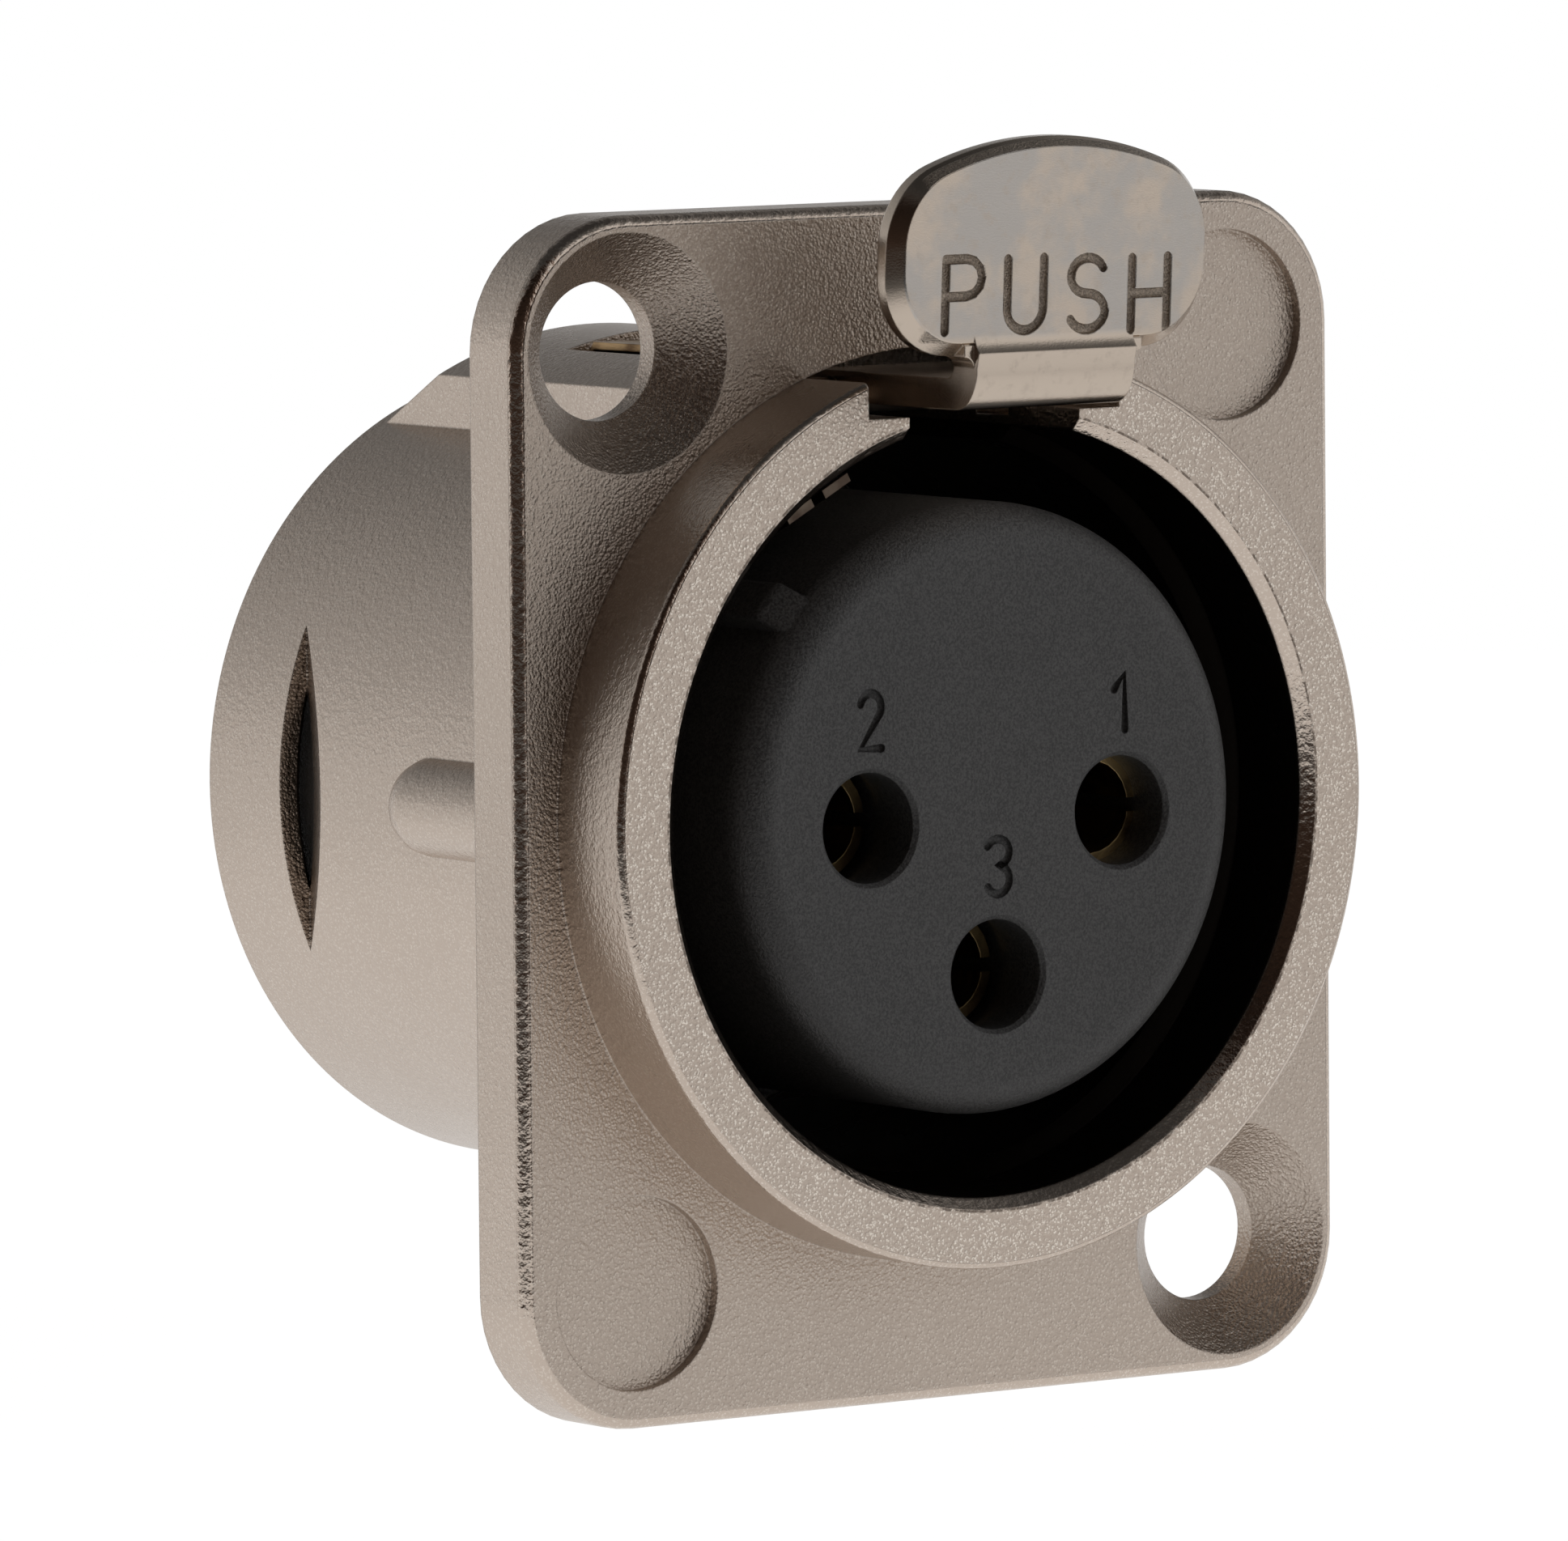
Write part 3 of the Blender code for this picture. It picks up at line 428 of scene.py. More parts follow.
def cast_nickel(colour):
    """Nickel plate on a sand-like die casting, coarser on the faces turned to the front; its colour
    holds painted shade on front faces, hole walls, the bore and the mouth's edge, painted light on
    the ring's face, and painted glints.
    """
    made, graph = new_material("cast_nickel")
    vector, x, y, z = graph.place()
    turned = graph.facing()
    radius = (x * x + z * z).root()
    deep = y.fade(RING_FRONT + BORE_DARK_START, RING_FRONT + BORE_DARK_END)
    inside = (1 - radius.fade(*BORE_DARK_EDGE)) * deep
    front = (-turned).fade(0.96, 0.995) * (1 - inside)
    across = x.size() - SCREW_X
    up = z.size() - SCREW_Z
    apart = (across * across + up * up).root()
    hole = 1 - apart.fade(COUNTERSINK_RADIUS, COUNTERSINK_RADIUS + CRUMB)
    roll = (-turned).band(0.12, 0.96, 0.03) * (1 - hole)
    end_face = front * (1 - y.fade(RING_FRONT + END_FACE_START, RING_FRONT + END_FACE_END))
    grains = graph.pebbles(vector, CAST_GRAIN, 0.1)
    fine = graph.noise(vector, FINE_GRAIN, 3.0, 0.7)
    swell = graph.noise(vector, CAST_SWELL, 2.0, 0.6)
    slow = graph.noise(vector, CAST_CLOUD, 3.0)
    coarse = 0.35 + 0.65 * front.most(hole)
    height = (0.7 * grains + 0.5 * fine) * coarse * (1 - 0.8 * roll) + 0.8 * swell
    # Painted glints: peaks of the grain noise take a near-white colour, most on the ring's front
    # face
    painted_glint = (fine * 0.7 + grains * 0.3).fade(0.52, 0.62) * (0.35 + 0.55 * end_face)
    # Painted shade: faces turned to the front and the walls of the screw holes and dimples take a
    # darker copy of the plate than the sides
    tint = graph.blend(front.most(hole), shade(colour, 0.92), shade(colour, 0.76))
    # Painted light: the ring's front face takes a lighter copy of the plate than the shaded flange
    # face
    tint = graph.blend(end_face, tint, shade(colour, 0.84))
    tint = graph.blend(painted_glint, tint, PAINTED_GLINT_TINT)
    # Painted shade: a ragged dark line on the front where the ring face meets the mouth's chamfer
    edge_shade = radius.band(*EDGE_SHADE_BAND) * front * swell.fade(0.40, 0.55)
    tint = graph.blend(edge_shade * 0.8, tint, EDGE_SHADE_TINT)
    # Painted shade: the bore beyond the mouth takes a near-black colour in place of the shade that
    # falls inside it
    tint = graph.blend(inside * 0.85, tint, BORE_SHADE_TINT)
    graph.surface(
        {"Metallic": 1.0},
        colour=tint,
        roughness=0.27 + 0.05 * front - 0.10 * roll + 0.10 * (slow - 0.5),
        normal=graph.bump(height * (1 - 0.8 * inside), CAST_RELIEF, CAST_ROUNDING),
    )
    return made


def bright_nickel(colour):
    """Smoother plate on the lever, dull in the strokes that are cut into it, with painted shade in
    them.
    """
    made, graph = new_material("bright_nickel")
    vector, x, y, z = graph.place()
    depth = y - (TAB_CENTRE_Z - z) * math.tan(math.radians(TAB_LEAN_DEG)) - TAB_FACE_Y
    cut = depth.band(*STROKE_DEPTHS) * z.fade(TAB_BOTTOM, LETTER_LOW)
    cut = cut * (1 - x.size().fade(*WORD_EDGE))
    fine = graph.noise(vector, FINE_GRAIN, 2.0, 0.7)
    slow = graph.noise(vector, PLATE_WAVE, 3.0)
    face = (1 - depth.fade(*TAB_FACE_DEPTHS)) * z.fade(TAB_BOTTOM, LETTER_LOW)
    cloud = graph.noise(vector, PLATE_CLOUD, 4.0, 0.6).fade(0.36, 0.56)
    stain = graph.noise(vector, PLATE_STAIN, 4.0, 0.7).fade(0.50, 0.72)
    tint = graph.blend(face * cloud, colour, COOL_TINT)
    tint = graph.blend(stain * 0.6, tint, shade(colour, 0.82))
    # Painted shade: the strokes cut into the tab take a much darker colour, broken by fine noise
    tint = graph.blend(cut * 0.7 * fine.fade(0.35, 0.65), tint, shade(colour, 0.3))
    graph.surface(
        {"Metallic": 1.0},
        colour=tint,
        roughness=0.15 + 0.08 * slow + 0.20 * cut,
        normal=graph.bump(fine * (0.3 + 3.0 * cut) + slow, PLATE_RELIEF, PLATE_ROUNDING),
    )
    return made


def black_plastic(colour):
    """Black moulding with a fine satin grain."""
    made, graph = new_material("black_plastic")
    vector, x, _, z = graph.place()
    radius = (x * x + z * z).root()
    fine = graph.noise(vector, MOULD_GRAIN, 2.0, 0.7)
    slow = graph.noise(vector, MOULD_CLOUD, 3.0)
    mottle = graph.noise(vector, MOULD_MOTTLE, 3.0, 0.7)
    rim = radius.fade(*MOULD_RIM_EDGE)
    tint = graph.blend(fine.fade(0.35, 0.65), shade(colour, 0.55), shade(colour, 1.5))
    tint = graph.blend(rim * (0.4 + 0.6 * mottle), tint, MOTTLE_TINT)
    graph.surface(
        {},
        colour=tint,
        roughness=0.42 + 0.10 * slow,
        normal=graph.bump(fine, MOULD_RELIEF, MOULD_ROUNDING),
    )
    return made


def drawn_brass(name, colour, tarnish):
    """Turned or rolled copper alloy with a little tarnish."""
    made, graph = new_material(name)
    vector = graph.place()[0]
    slow = graph.noise(vector, BRASS_CLOUD, 4.0)
    fine = graph.noise(vector, FINE_GRAIN)
    tint = graph.blend(slow.fade(0.45, 0.75), colour, tarnish)
    graph.surface(
        {"Metallic": 1.0},
        colour=tint,
        roughness=0.24 + 0.22 * slow,
        normal=graph.bump(fine, BRASS_RELIEF, BRASS_ROUNDING),
    )
    return made


def refinish(node, material):
    """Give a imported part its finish."""
    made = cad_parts[node]
    made.data.materials.clear()
    made.data.materials.append(material)


def deselect():
    if bpy.context.mode != "OBJECT":
        bpy.ops.object.mode_set(mode="OBJECT")
    bpy.ops.object.select_all(action="DESELECT")


def started(name):
    """Name the new primitive, apply its place and open it in edit mode, all selected."""
    made = bpy.context.object
    made.name = name
    bpy.ops.object.transform_apply()
    bpy.ops.object.mode_set(mode="EDIT")
    bpy.ops.mesh.select_mode(type="VERT")
    bpy.ops.mesh.select_all(action="SELECT")
    return made


def closed():
    """Turn all faces outwards and leave edit mode."""
    bpy.ops.mesh.select_all(action="SELECT")
    bpy.ops.mesh.normals_make_consistent(inside=False)
    bpy.ops.object.mode_set(mode="OBJECT")
    bpy.context.view_layer.update()


def lathe(name, outline, centre=(0.0, 0.0), segments=ROUND_SEGMENTS):
    """Turn an outline of (y, radius) points about an axis along Y by extruding a disc."""
    deselect()
    place, radius = outline[0]
    bpy.ops.mesh.primitive_circle_add(
        vertices=segments, radius=radius, fill_type="NGON",
        location=(centre[0], place, centre[1]), rotation=(math.pi / 2, 0.0, 0.0),
    )
    made = started(name)
    for next_place, next_radius in outline[1:]:
        ratio = next_radius / radius
        bpy.ops.mesh.extrude_region_move(
            TRANSFORM_OT_translate={"value": (0.0, next_place - place, 0.0)}
        )
        bpy.ops.transform.resize(
            value=(ratio, 1.0, ratio), center_override=(centre[0], next_place, centre[1])
        )
        place, radius = next_place, next_radius
    closed()
    return made


def traced(name, points):
    """Draw a chain of edges by extruding one vertex from point to point, in edit mode."""
    deselect()
    bpy.ops.mesh.primitive_plane_add(size=MM, location=points[0])
    made = started(name)
    bpy.ops.mesh.merge(type="CENTER")
    for near, far in zip(points, points[1:]):
        step = Vector(far) - Vector(near)
        bpy.ops.mesh.extrude_vertices_move(TRANSFORM_OT_translate={"value": step})
    bpy.ops.mesh.select_all(action="SELECT")
    return made


def slab(name, points, depth):
    """Fill a closed outline and extrude it by a vector."""
    made = traced(name, points)
    bpy.ops.mesh.edge_face_add()
    bpy.ops.mesh.extrude_region_move(TRANSFORM_OT_translate={"value": depth})
    closed()
    return made


def rod(name, points, radius):
    """Round bar along a path, with both ends rounded."""
    points = [Vector(point) for point in points]
    tapers = []
    for end, inner in ((points[0], points[1]), (points[-1], points[-2])):
        outward = (end - inner).normalized() * radius
        tapers.append([
            (end + outward * reach, math.sqrt(1 - reach * reach)) for reach in ROUND_END
        ])
    route = [(point, 1.0) for point in points]
    route = tapers[0][::-1] + route + tapers[1]
    made = traced(name, [point for point, share in route])
    bpy.ops.object.mode_set(mode="OBJECT")
    bpy.context.view_layer.update()
    bpy.ops.object.convert(target="CURVE")
    made = bpy.context.object
    spline = made.data.splines[0].points
    if (spline[0].co.xyz - route[0][0]).length > radius:
        route.reverse()
    for point, (place, share) in zip(spline, route):
        point.radius = share
    made.data.bevel_depth = radius
    made.data.bevel_resolution = ROD_STEPS
    made.data.use_fill_caps = True
    bpy.context.view_layer.update()
    bpy.ops.object.convert(target="MESH")
    made = bpy.context.object
    bpy.ops.object.mode_set(mode="EDIT")
    bpy.ops.mesh.select_all(action="SELECT")
    bpy.ops.mesh.remove_doubles(threshold=CRUMB / 10)
    closed()
    return made


def block(name, low, high):
    """Box between two corners."""
    deselect()
    middle = [(first + second) / 2 for first, second in zip(low, high)]
    size = [second - first for first, second in zip(low, high)]
    bpy.ops.mesh.primitive_cube_add(size=1.0, location=middle, scale=size)
    made = started(name)
    closed()
    return made


def arc(centre, radius, start_deg, end_deg, steps=ARC_STEPS):
    """Points on an arc, both ends included. The radius may be a pair, across and up."""
    across, up = radius if isinstance(radius, tuple) else (radius, radius)
    points = []
    for step in range(steps + 1):
        turn = math.radians(start_deg + (end_deg - start_deg) * step / steps)
        points.append((centre[0] + across * math.cos(turn), centre[1] + up * math.sin(turn)))
    return points


def combine(piece, operation, *tools, crossing=False):
    """Join tools to a piece, cut them out of it or keep what lies inside them."""
    deselect()
    bpy.context.view_layer.objects.active = piece
    for tool in tools:
        step = piece.modifiers.new("combine", "BOOLEAN")
        step.operation = operation
        step.solver = "EXACT"
        step.use_self = crossing
        step.object = tool
        bpy.ops.object.modifier_apply(modifier=step.name)
        bpy.data.objects.remove(tool, do_unlink=True)


def edit_edges(piece, test):
    """Open a piece in edit mode with the edges whose two corners pass a test selected."""
    deselect()
    bpy.context.view_layer.objects.active = piece
    piece.select_set(True)
    bpy.ops.object.mode_set(mode="EDIT")
    bpy.ops.mesh.select_mode(type="EDGE")
    bpy.ops.mesh.select_all(action="DESELECT")
    bpy.ops.object.mode_set(mode="OBJECT")
    corners = piece.data.vertices
    for edge in piece.data.edges:
        first, second = (corners[number].co for number in edge.vertices)
        edge.select = test(first, second)
    bpy.ops.object.mode_set(mode="EDIT")


def round_edges(piece, test, width, steps):
    """Round the edges that pass a test."""
    edit_edges(piece, test)
    bpy.ops.mesh.bevel(offset=width, segments=steps, affect="EDGES", clamp_overlap=False)
    bpy.ops.object.mode_set(mode="OBJECT")


def smooth(piece):
    """Merge crumbs and shade the round faces smooth, with flat faces kept flat."""
    deselect()
    bpy.context.view_layer.objects.active = piece
    piece.select_set(True)
    bpy.ops.object.mode_set(mode="EDIT")
    bpy.ops.mesh.select_all(action="SELECT")
    bpy.ops.mesh.remove_doubles(threshold=CRUMB)
    bpy.ops.object.mode_set(mode="OBJECT")
    bpy.ops.object.shade_smooth_by_angle(angle=math.radians(SHARP_DEG))
    flat = piece.modifiers.new("flat_faces", "WEIGHTED_NORMAL")
    flat.keep_sharp = True
    bpy.ops.object.modifier_apply(modifier=flat.name)


def parallel(axis):
    """Test for edges that run along an axis."""
    others = [index for index in range(3) if index != axis]
    return lambda first, second: all(abs(first[i] - second[i]) < CRUMB for i in others)


def level_with(axis, place):
    """Test for edges that lie in a plane across an axis."""
    return lambda first, second: (
        abs(first[axis] - place) < CRUMB and abs(second[axis] - place) < CRUMB
    )


def flange_blank():
    """Plate with round corners and a rolled front edge."""
    plate = block("flange_blank", (-FLANGE_HALF_X, FLANGE_FRONT, -FLANGE_HALF_Z),
                  (FLANGE_HALF_X, 0.0, FLANGE_HALF_Z))
    round_edges(plate, parallel(1), FLANGE_CORNER_RADIUS, CORNER_STEPS)
    round_edges(plate, level_with(1, FLANGE_FRONT), FLANGE_EDGE_RADIUS, EDGE_STEPS)
    return plate


def turned_blank():
    """Ring and barrel before the bore is cut."""
    edge = arc(
        (RING_FRONT + RING_EDGE_RADIUS, RING_RADIUS - RING_EDGE_RADIUS), RING_EDGE_RADIUS, 180, 90
    )
    middle = FLANGE_FRONT / 2
    return lathe("housing_shell", edge + [
        (middle, RING_RADIUS),
        (middle, BARREL_RADIUS),
        (BARREL_END - BARREL_EDGE, BARREL_RADIUS),
        (BARREL_END, BARREL_RADIUS - BARREL_EDGE),
    ])


def ridge_blank():
    """Ridge over the latch, level with the ring, that slopes down to the barrel's end."""
    ridge = lathe("ridge_blank", [
        (FLANGE_FRONT / 2, RING_RADIUS),
        (RIDGE_END, RING_RADIUS),
        (RIDGE_END + RIDGE_RAMP, BARREL_RADIUS - BARREL_EDGE / 2),
    ])
    keep = block("ridge_keep", (-RIDGE_HALF_WIDTH, FLANGE_FRONT, CHANNEL_BOTTOM),
                 (RIDGE_HALF_WIDTH, BARREL_END, RING_RADIUS + OVERCUT))
    combine(ridge, "INTERSECT", keep)
    return ridge


def rib_blank(side):
    """Half-round rib beside the barrel with a rounded end."""
    end = [(RIB_LENGTH - RIB_RADIUS + along, up) for along, up in arc((0, 0), RIB_RADIUS, 90, 6)]
    return lathe("rib_blank", [(FLANGE_FRONT / 2, RIB_RADIUS)] + end,
                 (side * RIB_OFFSET, 0.0), HOLE_SEGMENTS)


def bore_tool():
    """Chamfered mouth, plug bore and the wider pocket for the insert's base."""
    taper = RING_FRONT + MOUTH_DEPTH
    return lathe("bore_tool", [
        (RING_FRONT - OVERCUT, MOUTH_RADIUS + MOUTH_CHAMFER),
        (RING_FRONT, MOUTH_RADIUS + MOUTH_CHAMFER),
        (RING_FRONT + MOUTH_CHAMFER, MOUTH_RADIUS),
        (taper, MOUTH_RADIUS),
        (taper + MOUTH_TAPER, BORE_RADIUS),
        (POCKET_START, BORE_RADIUS),
        (POCKET_START, POCKET_RADIUS),
        (BARREL_END + OVERCUT, POCKET_RADIUS),
    ])


def latch_tools():
    """Notch in the ring, arched slot in the flange, cradles, channel and roof window."""
    above = RING_RADIUS + 4 * OVERCUT
    notch = block("notch_tool", (-NOTCH_HALF_WIDTH, RING_FRONT - OVERCUT, LEDGE_HEIGHT),
                  (NOTCH_HALF_WIDTH, FLANGE_FRONT, above))
    slot = lathe("slot_tool", [(FLANGE_FRONT - OVERCUT, RING_RADIUS), (0.0, RING_RADIUS)])
    keep = block("slot_keep", (-NOTCH_HALF_WIDTH, RING_FRONT, LEDGE_HEIGHT),
                 (NOTCH_HALF_WIDTH, BARREL_END, above))
    combine(slot, "INTERSECT", keep)
    reach = TRUNNION_RADIUS + CRADLE_PLAY
    cradle = block("cradle_tool", (-NOTCH_HALF_WIDTH, PIVOT.y - reach, PIVOT.z - reach),
                   (NOTCH_HALF_WIDTH, PIVOT.y + reach, LEDGE_HEIGHT + OVERCUT))
    channel = block("channel_tool", (-CHANNEL_HALF_WIDTH, RING_FRONT - OVERCUT, CHANNEL_BOTTOM),
                    (CHANNEL_HALF_WIDTH, CHANNEL_END, WINDOW_FLOOR + OVERCUT / 5))
    window = block("window_tool", (-WINDOW_HALF_WIDTH, 0.0, WINDOW_FLOOR),
                   (WINDOW_HALF_WIDTH, WINDOW_END, above))
    return notch, slot, cradle, channel, window


def wedge_tool(side):
    """Wedge notch across the side of the barrel, deepest at its upright rear wall."""
    slope = (WEDGE_REAR - WEDGE_FRONT) / WEDGE_DEPTH
    outline = [
        (side * (BARREL_RADIUS - WEDGE_DEPTH), WEDGE_REAR, -BARREL_RADIUS),
        (side * (BARREL_RADIUS + OVERCUT), WEDGE_REAR, -BARREL_RADIUS),
        (side * (BARREL_RADIUS + OVERCUT), WEDGE_FRONT - OVERCUT * slope, -BARREL_RADIUS),
    ]
    return slab("wedge_tool", outline, (0.0, 0.0, 2 * BARREL_RADIUS))


def screw_hole_tool(side):
    """Countersunk screw hole, upper left (side 1) or lower right (side -1)."""
    return lathe("screw_tool", [
        (FLANGE_FRONT - OVERCUT, COUNTERSINK_RADIUS),
        (FLANGE_FRONT, COUNTERSINK_RADIUS),
        (FLANGE_FRONT + COUNTERSINK_DEPTH, SCREW_HOLE_RADIUS),
        (OVERCUT, SCREW_HOLE_RADIUS),
    ], (-side * SCREW_X, side * SCREW_Z), HOLE_SEGMENTS)


def dimple_tool(side):
    """Shallow round recess, upper right (side 1) or lower left (side -1)."""
    return lathe("dimple_tool", [
        (FLANGE_FRONT - OVERCUT, DIMPLE_RADIUS),
        (FLANGE_FRONT + DIMPLE_DEPTH, DIMPLE_RADIUS),
    ], (side * SCREW_X, side * SCREW_Z), HOLE_SEGMENTS)


def make_housing():
    housing = turned_blank()
    combine(housing, "UNION", flange_blank(), ridge_blank(), rib_blank(1), rib_blank(-1))
    combine(housing, "DIFFERENCE", bore_tool(), *latch_tools())
    for side in (1, -1):
        combine(housing, "DIFFERENCE", wedge_tool(side), screw_hole_tool(side), dimple_tool(side))
    smooth(housing)
    return housing


def face_y(z):
    """Place of the tab's leaning face at a height."""
    return TAB_FACE_Y + math.tan(math.radians(TAB_LEAN_DEG)) * (TAB_CENTRE_Z - z)


def tab_outline():
    """Tab outline: flat bottom, round corners and a bowed top."""
    bow_centre = TAB_TOP - TAB_TOP_RADIUS
    side = TAB_HALF_WIDTH - TAB_CORNER_RADIUS
    rise = math.sqrt((TAB_TOP_RADIUS - TAB_CORNER_RADIUS) ** 2 - side * side)
    meet_deg = math.degrees(math.atan2(rise, side))
    low_centre = (TAB_HALF_WIDTH - TAB_LOWER_RADIUS, TAB_BOTTOM + TAB_LOWER_RADIUS)
    right = arc(low_centre, TAB_LOWER_RADIUS, -90, 0, CORNER_STEPS)
    right += arc((side, bow_centre + rise), TAB_CORNER_RADIUS, 0, meet_deg, CORNER_STEPS)
    top = arc((0.0, bow_centre), TAB_TOP_RADIUS, meet_deg, 180 - meet_deg, TOP_STEPS)[1:-1]
    left = [(-x, z) for x, z in reversed(right)]
    return right + top + left


def tab_blank():
    """Leaning tab plate whose rim is bevelled all round and rounded at the back."""
    outline = [(x, TAB_FACE_Y, z) for x, z in tab_outline()]
    plate = slab("lever", outline, (0.0, TAB_RIM_DEPTH, 0.0))
    edit_edges(plate, level_with(1, TAB_FACE_Y + TAB_RIM_DEPTH))
    growth = (TAB_RIM_TOP + TAB_RIM_FOOT) / (TAB_TOP - TAB_BOTTOM)
    bpy.ops.transform.resize(
        value=(1 + TAB_RIM_SIDE / TAB_HALF_WIDTH, 1.0, 1 + growth),
        center_override=(0.0, TAB_FACE_Y, TAB_TOP - TAB_RIM_TOP / growth),
    )
    bpy.ops.mesh.extrude_region_move(
        TRANSFORM_OT_translate={"value": (0.0, TAB_THICKNESS - TAB_RIM_DEPTH, 0.0)}
    )
    bpy.ops.object.mode_set(mode="OBJECT")
    round_edges(plate, level_with(1, TAB_FACE_Y + TAB_THICKNESS), TAB_EDGE_RADIUS, EDGE_STEPS)
    deselect()
    plate.select_set(True)
    bpy.ops.object.mode_set(mode="EDIT")
    bpy.ops.mesh.select_all(action="SELECT")
    bpy.ops.transform.rotate(
        value=-math.radians(TAB_LEAN_DEG), orient_axis="X",
        center_override=(0.0, TAB_FACE_Y, TAB_CENTRE_Z),
    )
    closed()
    return plate


def neck_outline():
    """Side view of the neck: it swells from the face to a crest and turns into the arm."""
    top = TAB_BOTTOM + TAB_LOWER_RADIUS / 2
    fall = NECK_START - NECK_CREST
    turn_deg = math.degrees(2 * math.atan2(NECK_BULGE, fall))
    hollow = fall / math.sin(math.radians(turn_deg))
    start = face_y(NECK_START) + CRUMB
    low = start - NECK_BULGE + NECK_UNDERCUT
    back = face_y(TAB_BOTTOM) + TAB_THICKNESS / math.cos(math.radians(TAB_LEAN_DEG))
    end = ARM_THICKNESS / 4
    outline = [(face_y(top) + CRUMB, top)]
    outline += arc((start - hollow, NECK_START), hollow, 0, -turn_deg, NECK_STEPS)
    outline += arc((low + NECK_TURN, ARM_BOTTOM + NECK_DROP), (NECK_TURN, NECK_DROP),
                   180, 270, TURN_STEPS)
    outline += [(ARM_TAIL - end, ARM_BOTTOM), (ARM_TAIL, ARM_BOTTOM + end)]
    outline += [(ARM_TAIL, ARM_TOP - end), (ARM_TAIL - end, ARM_TOP)]
    outline += arc((back + NECK_CORNER, ARM_TOP + NECK_CORNER), NECK_CORNER, 270, 180)
    outline += [(back, TAB_BOTTOM), (face_y(top) + TAB_THICKNESS / 2, top)]
    return outline


def arm_blank():
    outline = [(-ARM_HALF_WIDTH, y, z) for y, z in neck_outline()]
    return slab("arm_blank", outline, (2 * ARM_HALF_WIDTH, 0.0, 0.0))


def neck_corner_blank(side):
    """Hollow corner where the tab's lower edge runs into the neck."""
    inner = ARM_HALF_WIDTH - NECK_CORNER
    low = TAB_BOTTOM - TAB_RIM_FOOT
    hollow = arc((ARM_HALF_WIDTH + NECK_CORNER, low - NECK_CORNER), NECK_CORNER, 180, 90)
    outline = [(inner, low + NECK_CORNER), (inner, low - NECK_CORNER)] + hollow
    outline.append((ARM_HALF_WIDTH + NECK_CORNER, low + NECK_CORNER))
    depth = face_y(TAB_BOTTOM) + CRUMB
    return slab("neck_corner", [(side * x, depth, z) for x, z in outline],
                (0.0, TAB_THICKNESS - CRUMB, 0.0))


def trunnion_blank():
    reach = NOTCH_HALF_WIDTH - TRUNNION_PLAY
    outline = [
        (-reach, y, z) for y, z in arc((PIVOT.y, PIVOT.z), TRUNNION_RADIUS, 0, 345, 23)
    ]
    return slab("trunnion_blank", outline, (2 * reach, 0.0, 0.0))


def tooth_blank():
    """Locking tooth: sloped in front to lift over a plug, upright behind to hold it."""
    root = ARM_BOTTOM + ARM_THICKNESS / 2
    outline = [
        (TOOTH_FRONT, root),
        (TOOTH_FRONT, ARM_BOTTOM),
        (TOOTH_REAR - TOOTH_TIP_LENGTH, TOOTH_TIP_HEIGHT),
        (TOOTH_REAR, TOOTH_TIP_HEIGHT),
        (TOOTH_REAR, root),
    ]
    return slab("tooth_blank", [(-TOOTH_HALF_WIDTH, y, z) for y, z in outline],
                (2 * TOOTH_HALF_WIDTH, 0.0, 0.0))


def strokes(sign, width):
    """Strokes of a letter or digit one unit high and centred on 0, as (across, up) points."""
    half = width / 2
    shapes = {
        "1": [[(-width, 0.74), (0.0, 1.0), (0.0, 0.0)]],
        "2": [arc((0.0, 0.75), (half, 0.25), 165, -30, CORNER_STEPS) + [(-half, 0.0), (half, 0.0)]],
        "3": [arc((0.0, 0.76), (half, 0.24), 150, -90, CORNER_STEPS)
              + arc((0.0, 0.26), (half, 0.26), 90, -150, CORNER_STEPS)[1:]],
        "P": [[(-half, 0.0), (-half, 1.0)],
              [(-half, 1.0)] + arc((half - 0.26, 0.74), 0.26, 90, -90) + [(-half, 0.48)]],
        "U": [[(-half, 1.0)] + arc((0.0, half), half, 180, 360, LETTER_STEPS) + [(half, 1.0)]],
        "S": [arc((0.0, 0.75), (half * 0.94, 0.25), 25, 270, LETTER_STEPS)
              + arc((0.0, 0.25), (half, 0.25), 90, -155, LETTER_STEPS)[1:]],
        "H": [[(-half, 0.0), (-half, 1.0)], [(half, 0.0), (half, 1.0)], [(-half, 0.5), (half, 0.5)]],
    }
    return shapes[sign]


def engrave(piece, sign, width, centre_x, low_z, height, surface_y, radius):
    """Cut a sign's strokes as round-bottomed grooves along a given surface."""
    for stroke in strokes(sign, width):
        points = [
            (centre_x + height * across, surface_y(low_z + height * up), low_z + height * up)
            for across, up in stroke
        ]
        combine(piece, "DIFFERENCE", rod("groove_tool", points, radius), crossing=True)


def make_lever():
    lever = tab_blank()
    combine(lever, "UNION", arm_blank(), neck_corner_blank(1), neck_corner_blank(-1),
            trunnion_blank(), tooth_blank())
    for sign, centre in zip("PUSH", LETTER_PLACES):
        low = LETTER_LOW - LETTER_FALL * centre
        engrave(lever, sign, LETTER_WIDTH, centre, low, LETTER_HEIGHT,
                lambda z: face_y(z) + LETTER_SINK, LETTER_STROKE / 2)
    smooth(lever)
    return lever


def contact_places():
    """Centre (x, z) of each contact by its number."""
    places = {}
    for number, angle_deg in ((1, 0.0), (2, 180.0), (3, 270.0)):
        angle = math.radians(angle_deg)
        places[number] = (
            CONTACT_CIRCLE_RADIUS * math.cos(angle),
            CONTACT_CIRCLE_RADIUS * math.sin(angle) - CONTACT_CIRCLE_DROP,
        )
    return places


